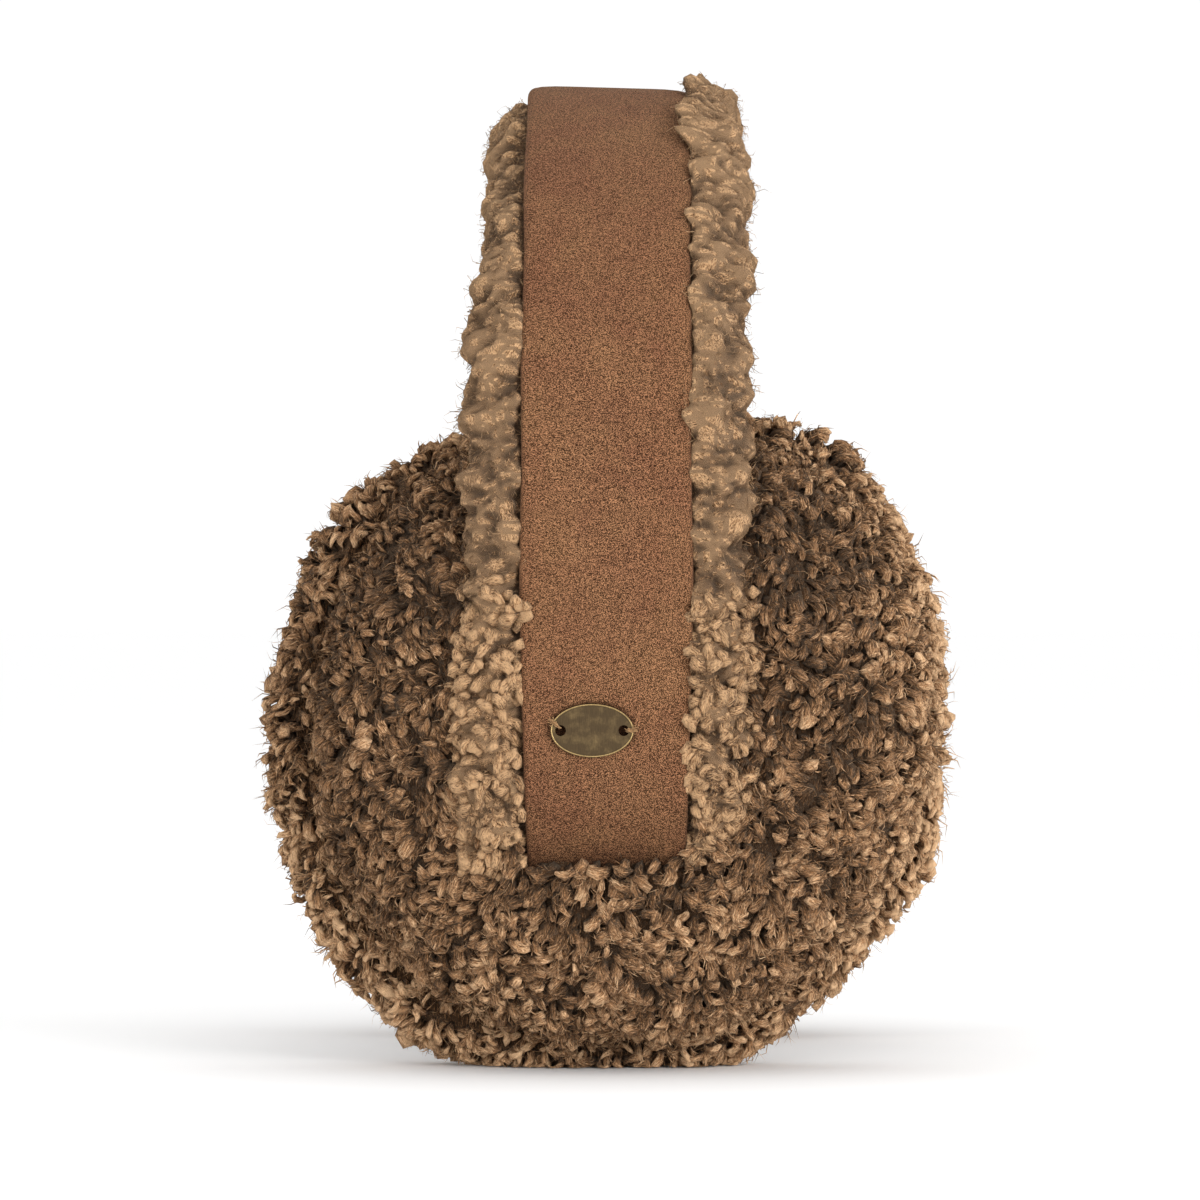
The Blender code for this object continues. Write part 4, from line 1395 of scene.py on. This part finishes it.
def suede_material(band):
    """Suede: a fine upright nap with soft mottling, and painted shade at the tail and round the plate."""
    nodes = Nodes("suede")
    place = nodes.add("ShaderNodeTexCoord").outputs["Object"]
    stretched = nodes.add("ShaderNodeMapping", Vector=place, Scale=(1.0, 1.4, 1.4)).outputs["Vector"]
    nap = nodes.noise(stretched, 5200, detail=1.0, rough=0.6)
    grain = nodes.noise(stretched, 2400, detail=1.0, rough=0.6)
    mottle = nodes.noise(place, 110, detail=4.0, rough=0.65, distortion=0.4)
    clouds = nodes.noise(place, 38, detail=2.0)
    patches = nodes.math("ADD", nodes.math("MULTIPLY", mottle, 0.55), nodes.math("MULTIPLY", clouds, 0.45))
    base = nodes.ramp(patches, (0.40, tuple(band.suede)), (0.60, tuple(band.suede_worn)))
    speckle = nodes.math("ADD", nodes.math("MULTIPLY", nap, 0.8), nodes.math("MULTIPLY", grain, 0.2))
    shade = nodes.ramp(speckle, (0.43, (0.28, 0.25, 0.23)), (0.5, (0.68, 0.68, 0.68)), (0.57, (3.3, 3.25, 3.2)))
    colour = nodes.mix(1.0, base, shade, blend="MULTIPLY")
    parts = nodes.add("ShaderNodeSeparateXYZ", Vector=place).outputs
    colour = nodes.mix(1.0, colour, tail_shade(nodes, parts["Z"]), blend="MULTIPLY")
    colour = nodes.mix(1.0, colour, plate_shade(nodes, parts), blend="MULTIPLY")
    nodes.surface(
        colour,
        0.92,
        Sheen_Weight=0.05,
        Sheen_Roughness=0.5,
        Sheen_Tint=(1.0, 0.78, 0.6, 1.0),
        Specular_IOR_Level=0.03,
    )
    nodes.bump(speckle, 0.00025, 0.8)
    return nodes.material


def tail_shade(nodes, height):
    """Painted shade: suede that darkens where the strip dips into the wool."""
    place = nodes.math("MULTIPLY", nodes.math("SUBTRACT", height, TAIL_DARK_HEIGHT), 1 / TAIL_DARK_REACH)
    return nodes.ramp(
        place, (0.0, (0.30, 0.27, 0.25)), (0.3, (0.75, 0.73, 0.72)), (0.55, (0.88, 0.86, 0.87)), (1.0, (1.0, 1.0, 1.0))
    )


def plate_shade(nodes, parts):
    """Painted shadow: suede that stays dark under the plate, showing in its stitch holes, and just above its edge."""
    across = nodes.math("MULTIPLY", nodes.math("SUBTRACT", parts["X"], PLATE_CENTRE.x), 1 / PLATE_HALF_WIDTH)
    up = nodes.math("SUBTRACT", parts["Z"], PLATE_CENTRE.z + PLATE_SHADE_RISE)
    up = nodes.math("MULTIPLY", up, 1 / PLATE_HALF_HEIGHT)
    reach = nodes.math("ADD", nodes.math("MULTIPLY", across, across), nodes.math("MULTIPLY", up, up))
    near = nodes.math("LESS_THAN", parts["Y"], 0.0)
    shade = nodes.ramp(nodes.math("MULTIPLY", reach, 0.5), (0.42, (0.12, 0.10, 0.09)), (0.62, (1.0, 1.0, 1.0)))
    return nodes.mix(near, (1.0, 1.0, 1.0), shade)


def plate_material(plate):
    """Antiqued brass: dark patina in the field, worn bright where the rim stands proud."""
    nodes = Nodes("antiqued_brass")
    place = nodes.add("ShaderNodeTexCoord").outputs["Object"]
    parts = nodes.add("ShaderNodeSeparateXYZ", Vector=place).outputs
    proud = nodes.math("SUBTRACT", PLATE_FRONT + 0.00012, parts["Y"])
    rim = nodes.add("ShaderNodeClamp", Value=nodes.math("MULTIPLY", proud, 1 / 0.0001)).outputs["Result"]
    cloudy = nodes.noise(place, 420, detail=5.0, rough=0.65)
    brushed_place = nodes.add("ShaderNodeMapping", Vector=place, Scale=(9.0, 1.0, 0.6)).outputs["Vector"]
    brushed = nodes.noise(brushed_place, 900, detail=3.0, rough=0.6)
    rubbed = nodes.math("MULTIPLY", nodes.math("MAXIMUM", nodes.math("SUBTRACT", cloudy, 0.48), 0.0), 0.8)
    rim = nodes.math("MULTIPLY", rim, nodes.math("ADD", 0.35, nodes.noise(place, 900, detail=2.0)))
    worn = nodes.math("ADD", rim, rubbed)
    worn = nodes.add("ShaderNodeClamp", Value=worn).outputs["Result"]
    colour = nodes.mix(worn, tuple(plate.patina), tuple(plate.brass))
    shade = nodes.ramp(brushed, (0.3, (0.72, 0.72, 0.72)), (0.7, (1.2, 1.2, 1.2)))
    colour = nodes.mix(1.0, colour, shade, blend="MULTIPLY")
    roughness = nodes.ramp(worn, (0.0, (0.52, 0.52, 0.52)), (1.0, (0.26, 0.26, 0.26)))
    nodes.surface(colour, roughness, Metallic=0.8)
    nodes.bump(nodes.math("ADD", nodes.math("MULTIPLY", cloudy, 0.5), brushed), 0.00005, 0.6)
    return nodes.material


def thread_material(plate):
    """Waxed thread: a warm tan with the light and dark of its fibres."""
    nodes = Nodes("waxed_thread")
    place = nodes.add("ShaderNodeTexCoord").outputs["Object"]
    fibres = nodes.noise(place, 5200, detail=2.0)
    dark = tuple(0.6 * channel for channel in plate.thread)
    light = tuple(min(1.0, 1.35 * channel) for channel in plate.thread)
    nodes.surface(nodes.ramp(fibres, (0.35, dark), (0.65, light)), 0.7, Sheen_Weight=0.05, Specular_IOR_Level=0.2)
    nodes.bump(fibres, 0.0001, 0.6)
    return nodes.material


def add_light(name, place, target, size, power):
    """A square softbox at a place, aimed at a target."""
    lamp = bpy.data.lights.new(name, "AREA")
    lamp.size = size
    lamp.energy = power
    obj = bpy.data.objects.new(name, lamp)
    obj.location = place
    obj.rotation_euler = (Vector(target) - Vector(place)).to_track_quat("-Z", "Y").to_euler()
    bpy.context.scene.collection.objects.link(obj)
    return obj


class EARMUFFS_OT_studio(bpy.types.Operator):
    """Sets up the white floor, the lights and the camera"""

    bl_idname = "earmuffs.studio"
    bl_label = "Studio"

    def execute(self, context):
        studio = context.scene.earmuffs_studio
        bm = bmesh.new()
        bmesh.ops.create_circle(bm, cap_ends=True, segments=64, radius=20.0)
        paper = Nodes("white_paper")
        paper.surface((0.97, 0.97, 0.97, 1.0), 0.9)
        add_mesh("studio_floor", bm, paper.material)
        target = (0, 0, (cad_low.z + cad_high.z) / 2)
        add_light("key_light", (0.80, -1.15, 0.30), target, 0.6, studio.key)
        add_light("fill_light", (-0.35, -1.35, 0.26), target, 0.5, studio.fill)
        add_light("top_light", (0.1, 0.15, 1.3), target, 1.0, studio.top)
        world = bpy.data.worlds.new("white_surround")
        world.use_nodes = True
        background = world.node_tree.nodes["Background"]
        background.inputs["Color"].default_value = (1.0, 1.0, 1.0, 1.0)
        background.inputs["Strength"].default_value = studio.sky
        context.scene.world = world
        context.scene.view_settings.view_transform = "Standard"
        camera = bpy.data.cameras.new("photo_camera")
        camera.lens = studio.lens
        obj = bpy.data.objects.new("photo_camera", camera)
        context.scene.collection.objects.link(obj)
        aim = Vector((-0.0012, -STRIP_RADIUS, studio.camera_height))
        back = Vector((math.sin(studio.azimuth), -math.cos(studio.azimuth), 0))
        obj.location = aim + back * studio.distance
        obj.rotation_euler = (-back).to_track_quat("-Z", "Y").to_euler()
        context.scene.camera = obj
        return {"FINISHED"}


class EARMUFFS_PT_panel(bpy.types.Panel):
    """Lists the steps that build the earmuffs"""

    bl_idname = "EARMUFFS_PT_panel"
    bl_label = "Fleece earmuffs"
    bl_space_type = "VIEW_3D"
    bl_region_type = "UI"
    bl_category = "Earmuffs"

    def draw(self, context):
        for operator in OPERATORS:
            self.layout.operator(operator.bl_idname)


OPERATORS = (
    EARMUFFS_OT_strip,
    EARMUFFS_OT_lining,
    EARMUFFS_OT_pads,
    EARMUFFS_OT_plate,
    EARMUFFS_OT_studio,
)
GROUPS = {
    "earmuffs_wool": EarmuffsWool,
    "earmuffs_band": EarmuffsBand,
    "earmuffs_plate": EarmuffsPlate,
    "earmuffs_studio": EarmuffsStudio,
}


def register():
    for name, group in GROUPS.items():
        bpy.utils.register_class(group)
        setattr(bpy.types.Scene, name, PointerProperty(type=group))
    for item in (*OPERATORS, EARMUFFS_PT_panel):
        bpy.utils.register_class(item)


def unregister():
    for item in (EARMUFFS_PT_panel, *reversed(OPERATORS)):
        bpy.utils.unregister_class(item)
    for name, group in reversed(GROUPS.items()):
        delattr(bpy.types.Scene, name)
        bpy.utils.unregister_class(group)


def main():
    register()
    bpy.ops.earmuffs.strip()
    bpy.ops.earmuffs.lining()
    bpy.ops.earmuffs.pads()
    bpy.ops.earmuffs.plate()
    bpy.ops.earmuffs.studio()


if __name__ == "__main__":
    main()
